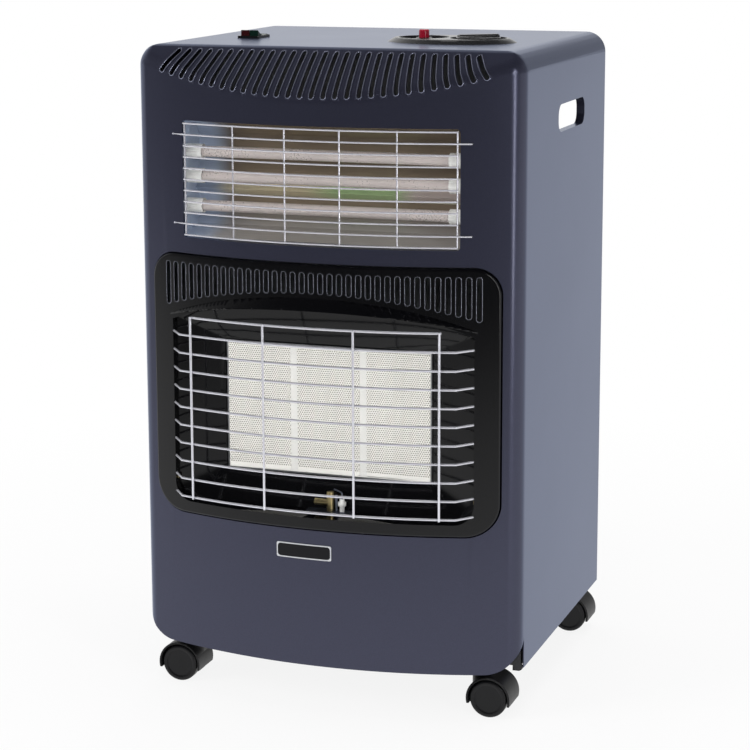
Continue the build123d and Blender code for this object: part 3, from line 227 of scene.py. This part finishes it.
def pale_floor():
    """A white floor that keeps the heater's shadow and turns to plain white away from it.

    Reflections see it white near the heater and darker towards the camera.
    """
    bpy.ops.mesh.primitive_plane_add(size=30, location=(0, 0, -0.0003))
    floor = bpy.context.object
    floor.name = "floor"
    look = bpy.data.materials.new("white_floor")
    look.use_nodes = True
    tree = look.node_tree
    shade = tree.nodes["Principled BSDF"]
    shade.inputs["Base Color"].default_value = (0.86, 0.86, 0.86, 1)
    shade.inputs["Roughness"].default_value = 0.9
    shade.inputs["Specular IOR Level"].default_value = 0.0
    place = tree.nodes.new("ShaderNodeTexCoord")
    reach = tree.nodes.new("ShaderNodeVectorMath")
    reach.operation = "LENGTH"
    tree.links.new(place.outputs["Object"], reach.inputs[0])
    fade = ramp_node(tree, reach.outputs["Value"], 0.35, 1.3, 0.88, 1.0)
    rays = tree.nodes.new("ShaderNodeLightPath")
    split = tree.nodes.new("ShaderNodeSeparateXYZ")
    tree.links.new(place.outputs["Object"], split.inputs[0])
    ahead = ramp_node(tree, split.outputs["Y"], -2.6, -0.3, 0.10, 1.0)
    gloss = rays.outputs["Is Glossy Ray"]
    seen = math_node(tree, "MULTIPLY", rays.outputs["Is Camera Ray"], fade)
    seen = math_node(tree, "MAXIMUM", seen, gloss)
    dimmed = math_node(tree, "MULTIPLY", gloss, math_node(tree, "SUBTRACT", 1.0, ahead))
    tone = math_node(tree, "SUBTRACT", 1.0, dimmed)
    white = tree.nodes.new("ShaderNodeEmission")
    tree.links.new(tone, white.inputs["Strength"])
    blend = tree.nodes.new("ShaderNodeMixShader")
    tree.links.new(seen, blend.inputs[0])
    tree.links.new(shade.outputs[0], blend.inputs[1])
    tree.links.new(white.outputs[0], blend.inputs[2])
    tree.links.new(blend.outputs[0], tree.nodes["Material Output"].inputs[0])
    floor.data.materials.append(look)


# ---------------------------------------------------------------- shared effects
def new_group(name, inputs, outputs):
    group = bpy.data.node_groups.new(name, "ShaderNodeTree")
    for label, value in inputs:
        socket = group.interface.new_socket(label, in_out="INPUT", socket_type="NodeSocketFloat")
        socket.default_value = value
    for label in outputs:
        group.interface.new_socket(label, in_out="OUTPUT", socket_type="NodeSocketFloat")
    return group, group.nodes.new("NodeGroupInput"), group.nodes.new("NodeGroupOutput")


def math_node(tree, operation, a, b, c=None):
    node = tree.nodes.new("ShaderNodeMath")
    node.operation = operation
    for socket, value in zip(node.inputs, (a, b, c)):
        if value is None:
            continue
        if isinstance(value, (int, float)):
            socket.default_value = value
        else:
            tree.links.new(value, socket)
    return node.outputs[0]


def noise_node(tree, vector, scale, detail, rough=0.5):
    node = tree.nodes.new("ShaderNodeTexNoise")
    tree.links.new(vector, node.inputs["Vector"])
    tree.links.new(scale, node.inputs["Scale"])
    node.inputs["Detail"].default_value = detail
    node.inputs["Roughness"].default_value = rough
    return node.outputs["Fac"]


def grain_group():
    """Fine grain and broad clouding: a tone to multiply the colour by, a roughness and a height."""
    group, given, out = new_group(
        "surface_grain",
        (("Grain per metre", 900), ("Cloud per metre", 12), ("Grain tone", 0.05), ("Cloud tone", 0.05),
         ("Roughness", 0.4), ("Roughness spread", 0.08)),
        ("Tone", "Roughness", "Height"),
    )
    place = group.nodes.new("ShaderNodeTexCoord").outputs["Object"]
    grain = noise_node(group, place, given.outputs["Grain per metre"], 1.0)
    cloud = noise_node(group, place, given.outputs["Cloud per metre"], 3.0)
    grain_off = math_node(group, "SUBTRACT", grain, 0.5)
    cloud_off = math_node(group, "SUBTRACT", cloud, 0.5)
    tone = math_node(group, "MULTIPLY_ADD", grain_off, given.outputs["Grain tone"], 1.0)
    tone = math_node(group, "MULTIPLY_ADD", cloud_off, given.outputs["Cloud tone"], tone)
    both = math_node(group, "ADD", grain_off, cloud_off)
    spread, middling = given.outputs["Roughness spread"], given.outputs["Roughness"]
    rough = math_node(group, "MULTIPLY_ADD", both, spread, middling)
    group.links.new(tone, out.inputs["Tone"])
    group.links.new(rough, out.inputs["Roughness"])
    group.links.new(grain, out.inputs["Height"])
    return group


def flake_group():
    """Random bright and dark flakes, as in metallic paint and zinc spangle."""
    group, given, out = new_group(
        "metal_flakes", (("Flakes per metre", 2500), ("Strength", 0.3)), ("Tone", "Height"))
    place = group.nodes.new("ShaderNodeTexCoord").outputs["Object"]
    cells = group.nodes.new("ShaderNodeTexVoronoi")
    group.links.new(place, cells.inputs["Vector"])
    group.links.new(given.outputs["Flakes per metre"], cells.inputs["Scale"])
    split = group.nodes.new("ShaderNodeSeparateColor")
    group.links.new(cells.outputs["Color"], split.inputs[0])
    offset = math_node(group, "SUBTRACT", split.outputs[0], 0.5)
    tone = math_node(group, "MULTIPLY_ADD", offset, given.outputs["Strength"], 1.0)
    group.links.new(tone, out.inputs["Tone"])
    group.links.new(split.outputs[1], out.inputs["Height"])
    return group


def rolled_group():
    """Fine lines left by rolling or drawing, long in X."""
    group, given, out = new_group(
        "rolled_lines", (("Lines per metre", 900), ("Stretch", 0.03), ("Strength", 0.2)), ("Tone", "Height"))
    place = group.nodes.new("ShaderNodeTexCoord").outputs["Object"]
    split = group.nodes.new("ShaderNodeSeparateXYZ")
    group.links.new(place, split.inputs[0])
    join = group.nodes.new("ShaderNodeCombineXYZ")
    group.links.new(math_node(group, "MULTIPLY", split.outputs[0], given.outputs["Stretch"]), join.inputs[0])
    group.links.new(split.outputs[1], join.inputs[1])
    group.links.new(split.outputs[2], join.inputs[2])
    lines = noise_node(group, join.outputs[0], given.outputs["Lines per metre"], 2.0)
    offset = math_node(group, "SUBTRACT", lines, 0.5)
    tone = math_node(group, "MULTIPLY_ADD", offset, given.outputs["Strength"], 1.0)
    group.links.new(tone, out.inputs["Tone"])
    group.links.new(lines, out.inputs["Height"])
    return group


def dust_group():
    """Where dust settles: faces that look up, in patches."""
    group, given, out = new_group("settled_dust", (("Amount", 0.3), ("Patch per metre", 40)), ("Dust",))
    place = group.nodes.new("ShaderNodeTexCoord")
    split = group.nodes.new("ShaderNodeSeparateXYZ")
    group.links.new(place.outputs["Normal"], split.inputs[0])
    up = group.nodes.new("ShaderNodeMapRange")
    up.inputs["From Min"].default_value, up.inputs["From Max"].default_value = 0.3, 0.95
    group.links.new(split.outputs["Z"], up.inputs["Value"])
    patch = noise_node(group, place.outputs["Object"], given.outputs["Patch per metre"], 4.0, 0.6)
    dust = math_node(group, "MULTIPLY", up.outputs[0], patch)
    group.links.new(math_node(group, "MULTIPLY", dust, given.outputs["Amount"]), out.inputs["Dust"])
    return group


surface_grain = grain_group()
metal_flakes = flake_group()
rolled_lines = rolled_group()
settled_dust = dust_group()


# ---------------------------------------------------------------- finishes
class Finish:
    """One Principled material and the nodes that vary its surface."""

    def __init__(self, name, colour, roughness, metallic=0.0, **sockets):
        self.material = bpy.data.materials.new(name)
        self.material.use_nodes = True
        self.tree = self.material.node_tree
        self.shader = self.tree.nodes["Principled BSDF"]
        self.colour = None
        self.base = (*colour, 1)
        self.shader.inputs["Base Color"].default_value = self.base
        self.shader.inputs["Roughness"].default_value = roughness
        self.shader.inputs["Metallic"].default_value = metallic
        self.roughness = roughness
        for label, value in sockets.items():
            self.shader.inputs[label.replace("_", " ")].default_value = value

    def place(self, group, **values):
        """Puts a shared effect in this material with its own values."""
        node = self.tree.nodes.new("ShaderNodeGroup")
        node.node_tree = group
        for label, value in values.items():
            node.inputs[label.replace("_", " ")].default_value = value
        return node

    def tint(self, tone):
        """Multiplies the colour so far by a tone."""
        mix = self.tree.nodes.new("ShaderNodeVectorMath")
        mix.operation = "SCALE"
        if self.colour is None:
            mix.inputs[0].default_value = self.base[:3]
        else:
            self.tree.links.new(self.colour, mix.inputs[0])
        self.tree.links.new(tone, mix.inputs["Scale"])
        self.colour = mix.outputs[0]
        self.tree.links.new(self.colour, self.shader.inputs["Base Color"])

    def cover(self, mask, colour):
        """Mixes a second colour over the first where the mask is 1."""
        mix = self.tree.nodes.new("ShaderNodeMix")
        mix.data_type = "RGBA"
        self.tree.links.new(mask, mix.inputs["Factor"])
        if self.colour is None:
            mix.inputs["A"].default_value = self.base
        else:
            self.tree.links.new(self.colour, mix.inputs["A"])
        mix.inputs["B"].default_value = (*colour, 1)
        self.colour = mix.outputs["Result"]
        self.tree.links.new(self.colour, self.shader.inputs["Base Color"])

    def bump(self, height, depth, strength):
        """Adds a relief over any that is there already."""
        node = self.tree.nodes.new("ShaderNodeBump")
        node.inputs["Strength"].default_value = strength
        node.inputs["Distance"].default_value = depth
        self.tree.links.new(height, node.inputs["Height"])
        last = self.shader.inputs["Normal"].links
        if last:
            self.tree.links.new(last[0].from_socket, node.inputs["Normal"])
        self.tree.links.new(node.outputs[0], self.shader.inputs["Normal"])

    def grain(self, per_metre, cloud=12, tone=0.05, cloud_tone=0.05, spread=0.08,
              depth=0.00002, strength=0.3):
        """Grain and clouding in tone and roughness, and the grain in height too unless depth is 0."""
        node = self.place(
            surface_grain, Grain_per_metre=per_metre, Cloud_per_metre=cloud, Grain_tone=tone,
            Cloud_tone=cloud_tone, Roughness=self.roughness, Roughness_spread=spread)
        self.tint(node.outputs["Tone"])
        self.tree.links.new(node.outputs["Roughness"], self.shader.inputs["Roughness"])
        if depth:
            self.bump(node.outputs["Height"], depth, strength)


def srgb(code):
    """Linear colour from a #rrggbb code."""
    parts = [int(code[i:i + 2], 16) / 255 for i in (1, 3, 5)]
    return tuple(v / 12.92 if v < 0.04045 else ((v + 0.055) / 1.055) ** 2.4 for v in parts)


def metallic_paint():
    look = Finish("metallic_paint", srgb("#3f4051"), 0.31, 0.72, Coat_Weight=0.25, Coat_Roughness=0.16,
                  Specular_Tint=(0.66, 0.76, 1.0, 1.0))
    look.grain(700, cloud=6, tone=0.03, cloud_tone=0.05, spread=0.05, depth=0.00003, strength=0.15)
    flakes = look.place(metal_flakes, Flakes_per_metre=2600, Strength=0.22)
    look.tint(flakes.outputs["Tone"])
    return look


def lip_highlight_finish(name, code):
    """Pale metallic finish of a rolled lip, a painted highlight along its edge."""
    look = Finish(name, srgb(code), 0.24, 0.9)
    look.grain(1400, cloud=60, tone=0.06, cloud_tone=0.2, spread=0.1)
    return look


def base_coat():
    look = Finish("base_coat", srgb("#26262a"), 0.5)
    look.grain(500, tone=0.1, cloud_tone=0.1)
    dust = look.place(settled_dust, Amount=0.25)
    look.cover(dust.outputs["Dust"], srgb("#8a8880"))
    return look


def gloss_enamel():
    look = Finish("gloss_enamel", srgb("#070709"), 0.10, 0.0, Specular_IOR_Level=0.24,
                  Coat_Weight=0.18, Coat_Roughness=0.04)
    look.grain(240, cloud=20, tone=0.1, cloud_tone=0.1, spread=0.04, depth=0.00005, strength=0.10)
    return look


def zinc_sheet():
    look = Finish("zinc_sheet", srgb("#a3a5a8"), 0.42, 0.85)
    look.grain(900, cloud=25, tone=0.04, cloud_tone=0.12, spread=0.15)
    spangle = look.place(metal_flakes, Flakes_per_metre=110, Strength=0.22)
    look.tint(spangle.outputs["Tone"])
    return look


def bright_reflector():
    """Heat-browned sheet with a low metallic value, with painted reflections that make it paler below and
    bluish at its left end.

    A painted reflection, a band between the two lower tubes, goes from cream through pale green to pale
    rose.
    """
    look = Finish("bright_reflector", srgb("#877a69"), 0.24, 0.12)
    look.grain(300, cloud=18, tone=0.03, cloud_tone=0.25, spread=0.08, depth=0.0)
    tree = look.tree
    split = tree.nodes.new("ShaderNodeSeparateXYZ")
    tree.links.new(tree.nodes.new("ShaderNodeTexCoord").outputs["Object"], split.inputs[0])
    x, z = split.outputs["X"], split.outputs["Z"]
    # Painted reflections: paler below, a band between the lower tubes and bluish at the left end.
    below = ramp_node(tree, z, *low_reflection_fade_z, 1.0, 0.0)
    above_low_edge = ramp_node(tree, z, *reflection_band_low_z, 0.0, 1.0)
    under_high_edge = ramp_node(tree, z, *reflection_band_high_z, 1.0, 0.0)
    band = math_node(tree, "MULTIPLY", above_low_edge, under_high_edge)
    green = math_node(tree, "MULTIPLY", ramp_node(tree, x, *green_reflection_x, 0.0, 1.0), band)
    rose = math_node(tree, "MULTIPLY", ramp_node(tree, x, *rose_reflection_x, 0.0, 1.0), band)
    left_reflection_mask = ramp_node(tree, x, *left_reflection_x, 1.0, 0.0)
    for mask, code in ((below, "#aaa6a2"), (band, "#fff4d2"), (green, "#d2f5ba"), (rose, "#fff3f0"),
                       (left_reflection_mask, "#bcc8dc")):
        look.cover(mask, srgb(code))
    lines = look.place(rolled_lines, Lines_per_metre=420, Stretch=0.02, Strength=0.25)
    look.tint(lines.outputs["Tone"])
    look.bump(lines.outputs["Height"], 0.0004, 0.12)
    return look


def chrome():
    look = Finish("chrome_wire", srgb("#e4e4ec"), 0.18, 0.62)
    look.grain(1200, cloud=40, tone=0.04, cloud_tone=0.08, spread=0.08)
    return look


def burner_ceramic():
    """Cream ceramic tile with rows of fine flame ports, darkened with painted shade, inside a plain margin.
    """
    look = Finish("burner_ceramic", srgb("#fdfbf4"), 0.85)
    look.grain(1500, cloud=30, tone=0.05, cloud_tone=0.05, spread=0.1, depth=0.00008, strength=0.4)
    tree = look.tree
    place = tree.nodes.new("ShaderNodeTexCoord").outputs["Object"]
    split = tree.nodes.new("ShaderNodeSeparateXYZ")
    tree.links.new(place, split.inputs[0])
    row = math_node(tree, "DIVIDE", split.outputs["Z"], port_pitch * port_row_share)
    odd = math_node(tree, "MODULO", math_node(tree, "FLOOR", row, 0), 2.0)
    across = math_node(tree, "DIVIDE", split.outputs["X"], port_pitch)
    across = math_node(tree, "MULTIPLY_ADD", odd, 0.5, across)
    from_port = []
    for count in (across, row):
        part = math_node(tree, "SUBTRACT", math_node(tree, "FLOORED_MODULO", count, 1.0), 0.5)
        from_port.append(math_node(tree, "MULTIPLY", part, part))
    reach = math_node(tree, "SQRT", math_node(tree, "ADD", *from_port), 0)
    port = tree.nodes.new("ShaderNodeMapRange")
    port.inputs["From Min"].default_value, port.inputs["From Max"].default_value = port_edge
    port.inputs["To Min"].default_value, port.inputs["To Max"].default_value = 1.0, 0.0
    tree.links.new(reach, port.inputs["Value"])
    from_left = math_node(tree, "ADD", split.outputs["X"], tile_pitch * tiles_to_left)
    in_tile = math_node(tree, "FLOORED_MODULO", from_left, tile_pitch)
    in_tile = math_node(tree, "SUBTRACT", in_tile, tile_pitch / 2)
    inside = math_node(tree, "LESS_THAN", math_node(tree, "ABSOLUTE", in_tile, 0), ports_half_width)
    off_middle = math_node(tree, "SUBTRACT", split.outputs["Z"], plaque_middle_z)
    tall = math_node(tree, "LESS_THAN", math_node(tree, "ABSOLUTE", off_middle, 0), ports_half_height)
    port_mask = math_node(tree, "MULTIPLY", math_node(tree, "MULTIPLY", port.outputs[0], inside), tall)
    # The ports' dark colour is painted shade inside the holes.
    look.cover(math_node(tree, "MULTIPLY", port_mask, port_shade_share), srgb("#6f6857"))
    look.bump(math_node(tree, "SUBTRACT", 1.0, port_mask), 0.0006, 0.6)
    return look


def fibre_seal():
    look = Finish("fibre_seal", srgb("#f2f1ec"), 0.95)
    look.grain(2200, cloud=120, tone=0.12, cloud_tone=0.08, spread=0.05, depth=0.0003, strength=0.5)
    return look


def glazed_ceramic():
    look = Finish("glazed_ceramic", srgb("#eeeeea"), 0.28, 0.0, Coat_Weight=0.3)
    look.grain(900, cloud=80, tone=0.03, cloud_tone=0.04, spread=0.1)
    return look


def frosted_quartz():
    look = Finish("frosted_quartz", srgb("#e8deda"), 0.30, 0.0, Transmission_Weight=0.40, IOR=1.45)
    look.grain(500, cloud=22, tone=0.04, cloud_tone=0.10, spread=0.12, depth=0.00004, strength=0.2)
    return look


def resistance_wire():
    look = Finish("resistance_wire", srgb("#6f6860"), 0.45, 0.9)
    look.grain(2500, cloud=60, tone=0.15, cloud_tone=0.15)
    return look


def machined_brass():
    look = Finish("machined_brass", srgb("#bfae80"), 0.30, 1.0)
    look.grain(1800, cloud=70, tone=0.08, cloud_tone=0.15, spread=0.15)
    return look


def cast_alloy():
    look = Finish("cast_alloy", srgb("#9c9da0"), 0.48, 0.9)
    look.grain(1300, cloud=60, tone=0.12, cloud_tone=0.12, spread=0.15, depth=0.0001, strength=0.5)
    return look


def drawn_steel():
    look = Finish("drawn_steel", srgb("#8f9094"), 0.34, 1.0)
    look.grain(1500, cloud=50, tone=0.08, cloud_tone=0.12, spread=0.15)
    return look


def heated_steel():
    look = Finish("heated_steel", srgb("#747a88"), 0.36, 0.95)
    look.grain(1500, cloud=90, tone=0.1, cloud_tone=0.3, spread=0.15)
    return look


def gloss_plastic(name, code):
    look = Finish(name, srgb(code), 0.26, 0.0, Coat_Weight=0.2, Coat_Roughness=0.15)
    look.grain(1100, cloud=60, tone=0.05, cloud_tone=0.05, spread=0.08)
    return look


def moulded_plastic():
    look = Finish("moulded_plastic", srgb("#0e0e10"), 0.42, 0.0, Specular_IOR_Level=0.3)
    look.grain(1700, cloud=50, tone=0.1, cloud_tone=0.08, spread=0.12, depth=0.00005, strength=0.5)
    return look


def satin_plate():
    """Bare name plate: a bright border round a plain dark field with rounded corners."""
    look = Finish("satin_plate", srgb("#d4d6da"), 0.34, 0.6)
    lines = look.place(rolled_lines, Lines_per_metre=2600, Stretch=0.02, Strength=0.2)
    look.grain(900, tone=0.03)
    look.tint(lines.outputs["Tone"])
    low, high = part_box("badge_plate")
    tree = look.tree
    split = tree.nodes.new("ShaderNodeSeparateXYZ")
    tree.links.new(tree.nodes.new("ShaderNodeTexCoord").outputs["Object"], split.inputs[0])
    past_corner = []
    for axis in (0, 2):
        off = math_node(tree, "SUBTRACT", split.outputs[axis], (low[axis] + high[axis]) / 2)
        flat = (high[axis] - low[axis]) / 2 - badge_border - badge_corner
        beyond = math_node(tree, "SUBTRACT", math_node(tree, "ABSOLUTE", off, 0), flat)
        beyond = math_node(tree, "MAXIMUM", beyond, 0.0)
        past_corner.append(math_node(tree, "MULTIPLY", beyond, beyond))
    far = math_node(tree, "SQRT", math_node(tree, "ADD", *past_corner), 0)
    look.cover(math_node(tree, "LESS_THAN", far, badge_corner), srgb("#16161a"))
    return look


finishes = {
    "body_paint": metallic_paint(),
    "base_paint": base_coat(),
    # The two lip finishes are painted highlights.
    "paint_lip_highlight": lip_highlight_finish("paint_lip_highlight", "#a9adc4"),
    "enamel_lip_highlight": lip_highlight_finish("enamel_lip_highlight", "#8d8f9b"),
    "black_enamel": gloss_enamel(),
    "galvanised": zinc_sheet(),
    "bright_sheet": bright_reflector(),
    "chrome_wire": chrome(),
    "plaque_ceramic": burner_ceramic(),
    "fibre": fibre_seal(),
    "white_ceramic": glazed_ceramic(),
    "quartz": frosted_quartz(),
    "coil_metal": resistance_wire(),
    "brass": machined_brass(),
    "cast_alloy": cast_alloy(),
    "steel_tube": drawn_steel(),
    "heat_steel": heated_steel(),
    "black_plastic": gloss_plastic("black_plastic", "#141416"),
    "caster_plastic": moulded_plastic(),
    "red_plastic": gloss_plastic("red_plastic", "#96102a"),
    "dark_red": gloss_plastic("dark_red", "#33080c"),
    "dark_green": gloss_plastic("dark_green", "#08211a"),
    "badge_metal": satin_plate(),
}


# ---------------------------------------------------------------- pieces
def clear_selection():
    for other in bpy.context.selected_objects:
        other.select_set(False)


def select_only(piece):
    clear_selection()
    piece.select_set(True)
    bpy.context.view_layer.objects.active = piece


def apply_all(piece):
    select_only(piece)
    for modifier in list(piece.modifiers):
        bpy.ops.object.modifier_apply(modifier=modifier.name)


def give(piece, slot, body, *nodes, finish=None):
    """Gives a piece the finish of its slot, or the finish named, the body it rides on, and hides the nodes
    it replaces.
    """
    piece.data.materials.clear()
    piece.data.materials.append(finishes[finish or slot].material)
    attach(piece, body)
    if nodes:
        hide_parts(*nodes)


def smooth_copy(node):
    """The node's shape as one joined skin, smooth over its curves and sharp at its edges."""
    source = frame["nodes"][node]
    piece = bpy.data.objects.new(f"{node}_skin", source.data.copy())
    scene.collection.objects.link(piece)
    select_only(piece)
    bpy.ops.object.mode_set(mode="EDIT")
    bpy.ops.mesh.select_all(action="SELECT")
    bpy.ops.mesh.remove_doubles(threshold=weld_reach)
    bpy.ops.object.mode_set(mode="OBJECT")
    bpy.ops.object.shade_smooth_by_angle(angle=crease_angle)
    weights = piece.modifiers.new("even_shading", "WEIGHTED_NORMAL")
    weights.keep_sharp = True
    apply_all(piece)
    return piece


def slope_arc():
    """Centre and radius, seen from the side, of the long arc that the louvre band follows."""
    along = (slope_low - slope_top).normalized()
    out = Vector((0.0, along.z, -along.y))
    low = slope_low + along * slope_round / 4
    chord = (low - slope_top).length / 2
    radius = (chord ** 2 + slope_bulge ** 2) / (2 * slope_bulge)
    return (slope_top + low) / 2 + out * (slope_bulge - radius), radius


def true_normals(piece, proud):
    """Gives corners on the bow and on the louvre band the normals of the curves themselves."""
    centre, radius = slope_arc()
    mesh = piece.data
    normals = [Vector(corner.vector) for corner in mesh.corner_normals]
    for face in mesh.polygons:
        for corner in face.loop_indices:
            place = mesh.vertices[mesh.loops[corner].vertex_index].co
            spoke = Vector((place.x, place.y - bow_axis_y, 0.0))
            rise = Vector((0.0, place.y - centre.y, place.z - centre.z))
            for line, reach in ((spoke, bow_radius + proud), (rise, radius)):
                near = abs(line.length - reach) < curve_reach
                if near and face.normal.dot(line.normalized()) > curve_facing:
                    normals[corner] = line.normalized()
                    break
    mesh.normals_split_custom_set(normals)


def dress_nodes():
    """Shows each CAD node as a smooth copy in its own finish."""
    slots = {part["node"]: part["material_slot"] for part in frame["record"]["subparts"]}
    for node in sorted(frame["nodes"]):
        if node in modelled_anew:
            continue
        slot = slots[node]
        piece = smooth_copy(node)
        if node in proud_of_bow:
            true_normals(piece, proud_of_bow[node])
            skins[node] = piece
        give(piece, slot, frame["nodes"][node]["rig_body"], node)


def wind_coils():
    """Wound resistance wire inside each quartz tube."""
    for number, z in enumerate(tube_height):
        clear_selection()
        bpy.ops.mesh.primitive_circle_add(
            vertices=6, radius=coil_wire / 2, location=(-coil_half_length, tube_y, z + coil_radius),
            rotation=(math.radians(90), 0, math.radians(90)))
        wire = bpy.context.object
        wire.name = f"heating_coil_{number + 1}"
        bpy.ops.object.transform_apply(location=False, rotation=True, scale=True)
        pivot = bpy.data.objects.new("winding_axis", None)
        pivot.location = (-coil_half_length, tube_y, z)
        scene.collection.objects.link(pivot)
        winding = wire.modifiers.new("winding", "SCREW")
        winding.axis = "X"
        winding.object = pivot
        turns = int(2 * coil_half_length / coil_pitch)
        winding.angle = math.radians(360)
        winding.iterations = turns
        winding.screw_offset = coil_pitch
        winding.steps = winding.render_steps = 10
        apply_all(wire)
        bpy.data.objects.remove(pivot)
        bpy.ops.object.transform_apply(location=True, rotation=True, scale=True)
        bpy.ops.object.mode_set(mode="EDIT")
        bpy.ops.mesh.select_all(action="SELECT")
        bpy.ops.mesh.normals_make_consistent(inside=False)
        bpy.ops.object.mode_set(mode="OBJECT")
        bpy.ops.object.shade_smooth()
        give(wire, "coil_metal", "cabinet", *(["heating_coils"] if number == 0 else []))


def turn_into_stadium(start, end, width):
    """Moves the half of the active ring that faces end over to it, and divides the two long edges."""
    ring = bpy.context.object
    along = (end - start).normalized()
    bpy.ops.object.mode_set(mode="EDIT")
    mesh = bmesh.from_edit_mesh(ring.data)
    far = [v for v in mesh.verts if (v.co - start).dot(along) > 0]
    for vertex in mesh.verts:
        vertex.select_set(vertex in far)
    mesh.select_flush(False)
    bmesh.update_edit_mesh(ring.data)
    bpy.ops.transform.translate(value=end - start)
    mesh = bmesh.from_edit_mesh(ring.data)
    for edge in mesh.edges:
        edge.select_set(edge.calc_length() > 1.5 * width)
    bmesh.update_edit_mesh(ring.data)
    bpy.ops.mesh.subdivide(number_cuts=5)
    bpy.ops.object.mode_set(mode="OBJECT")


def lip_rings(name, ends, width, thickness, behind):
    """A fine rolled lip round each slot, laid on the sheet behind it."""
    rings = []
    for start, end in ends:
        clear_selection()
        lean = math.atan2(end.x - start.x, end.z - start.z)
        bpy.ops.mesh.primitive_circle_add(
            vertices=14, radius=width / 2, location=start, rotation=(math.radians(90), lean, 0))
        bpy.ops.object.transform_apply(location=True, rotation=True, scale=True)
        turn_into_stadium(start, end, width)
        rings.append(bpy.context.object)
    clear_selection()
    for ring in rings:
        ring.select_set(True)
    bpy.context.view_layer.objects.active = rings[0]
    bpy.ops.object.join()
    lips = bpy.context.object
    lips.name = name
    lay = lips.modifiers.new("lay_on_sheet", "SHRINKWRAP")
    lay.target = behind
    lay.wrap_method = "PROJECT"
    lay.use_project_y = True
    lay.use_positive_direction = True
    lay.use_negative_direction = False
    apply_all(lips)
    bpy.ops.object.convert(target="CURVE")
    bpy.context.object.data.bevel_depth = thickness
    bpy.context.object.data.bevel_resolution = 1
    bpy.ops.object.convert(target="MESH")
    lips = bpy.context.object
    bpy.ops.object.mode_set(mode="EDIT")
    bpy.ops.mesh.select_all(action="SELECT")
    bpy.ops.mesh.remove_doubles(threshold=lip_weld_reach)
    bpy.ops.mesh.normals_make_consistent(inside=False)
    bpy.ops.object.mode_set(mode="OBJECT")
    bpy.ops.object.shade_smooth()
    return lips


def louvre_lips():
    """Lips round the fan of louvres in the sloping band."""
    ends = []
    for number in range(louvre_count):
        side = 2 * number / (louvre_count - 1) - 1
        low = Vector((side * louvre_low_span / 2, before_front, louvre_low_z + louvre_low_rise * side ** 2))
        ends.append((low, Vector((side * louvre_top_span / 2, before_front, louvre_top_z))))
    width = louvre_width + louvre_rim
    lips = lip_rings("louvre_lips", ends, width, louvre_lip_radius, skins["front_panel"])
    # The lips' pale finish is a painted highlight.
    give(lips, "body_paint", "cabinet", finish="paint_lip_highlight")


def slot_lips():
    """Lips round the row of slots in the burner surround."""
    ends = []
    for number in range(slot_count):
        side = 2 * number / (slot_count - 1) - 1
        x = side * slot_pitch * (slot_count - 1) / 2
        low = Vector((x, before_front, slot_low_z - slot_drop * side ** 2))
        ends.append((low, Vector((x, before_front, slot_top_z))))
    width = slot_width + slot_rim
    lips = lip_rings("surround_slot_lips", ends, width, slot_lip_radius, skins["burner_surround"])
    # The lips' pale finish is a painted highlight.
    give(lips, "black_enamel", "cabinet", finish="enamel_lip_highlight")


modelled_anew = {"heating_coils"}
skins = {}
proud_of_bow = {"front_panel": 0.0, "burner_surround": surround_proud}

place_camera()
place_lights()
plain_world()
pale_floor()
dress_nodes()
wind_coils()
louvre_lips()
slot_lips()
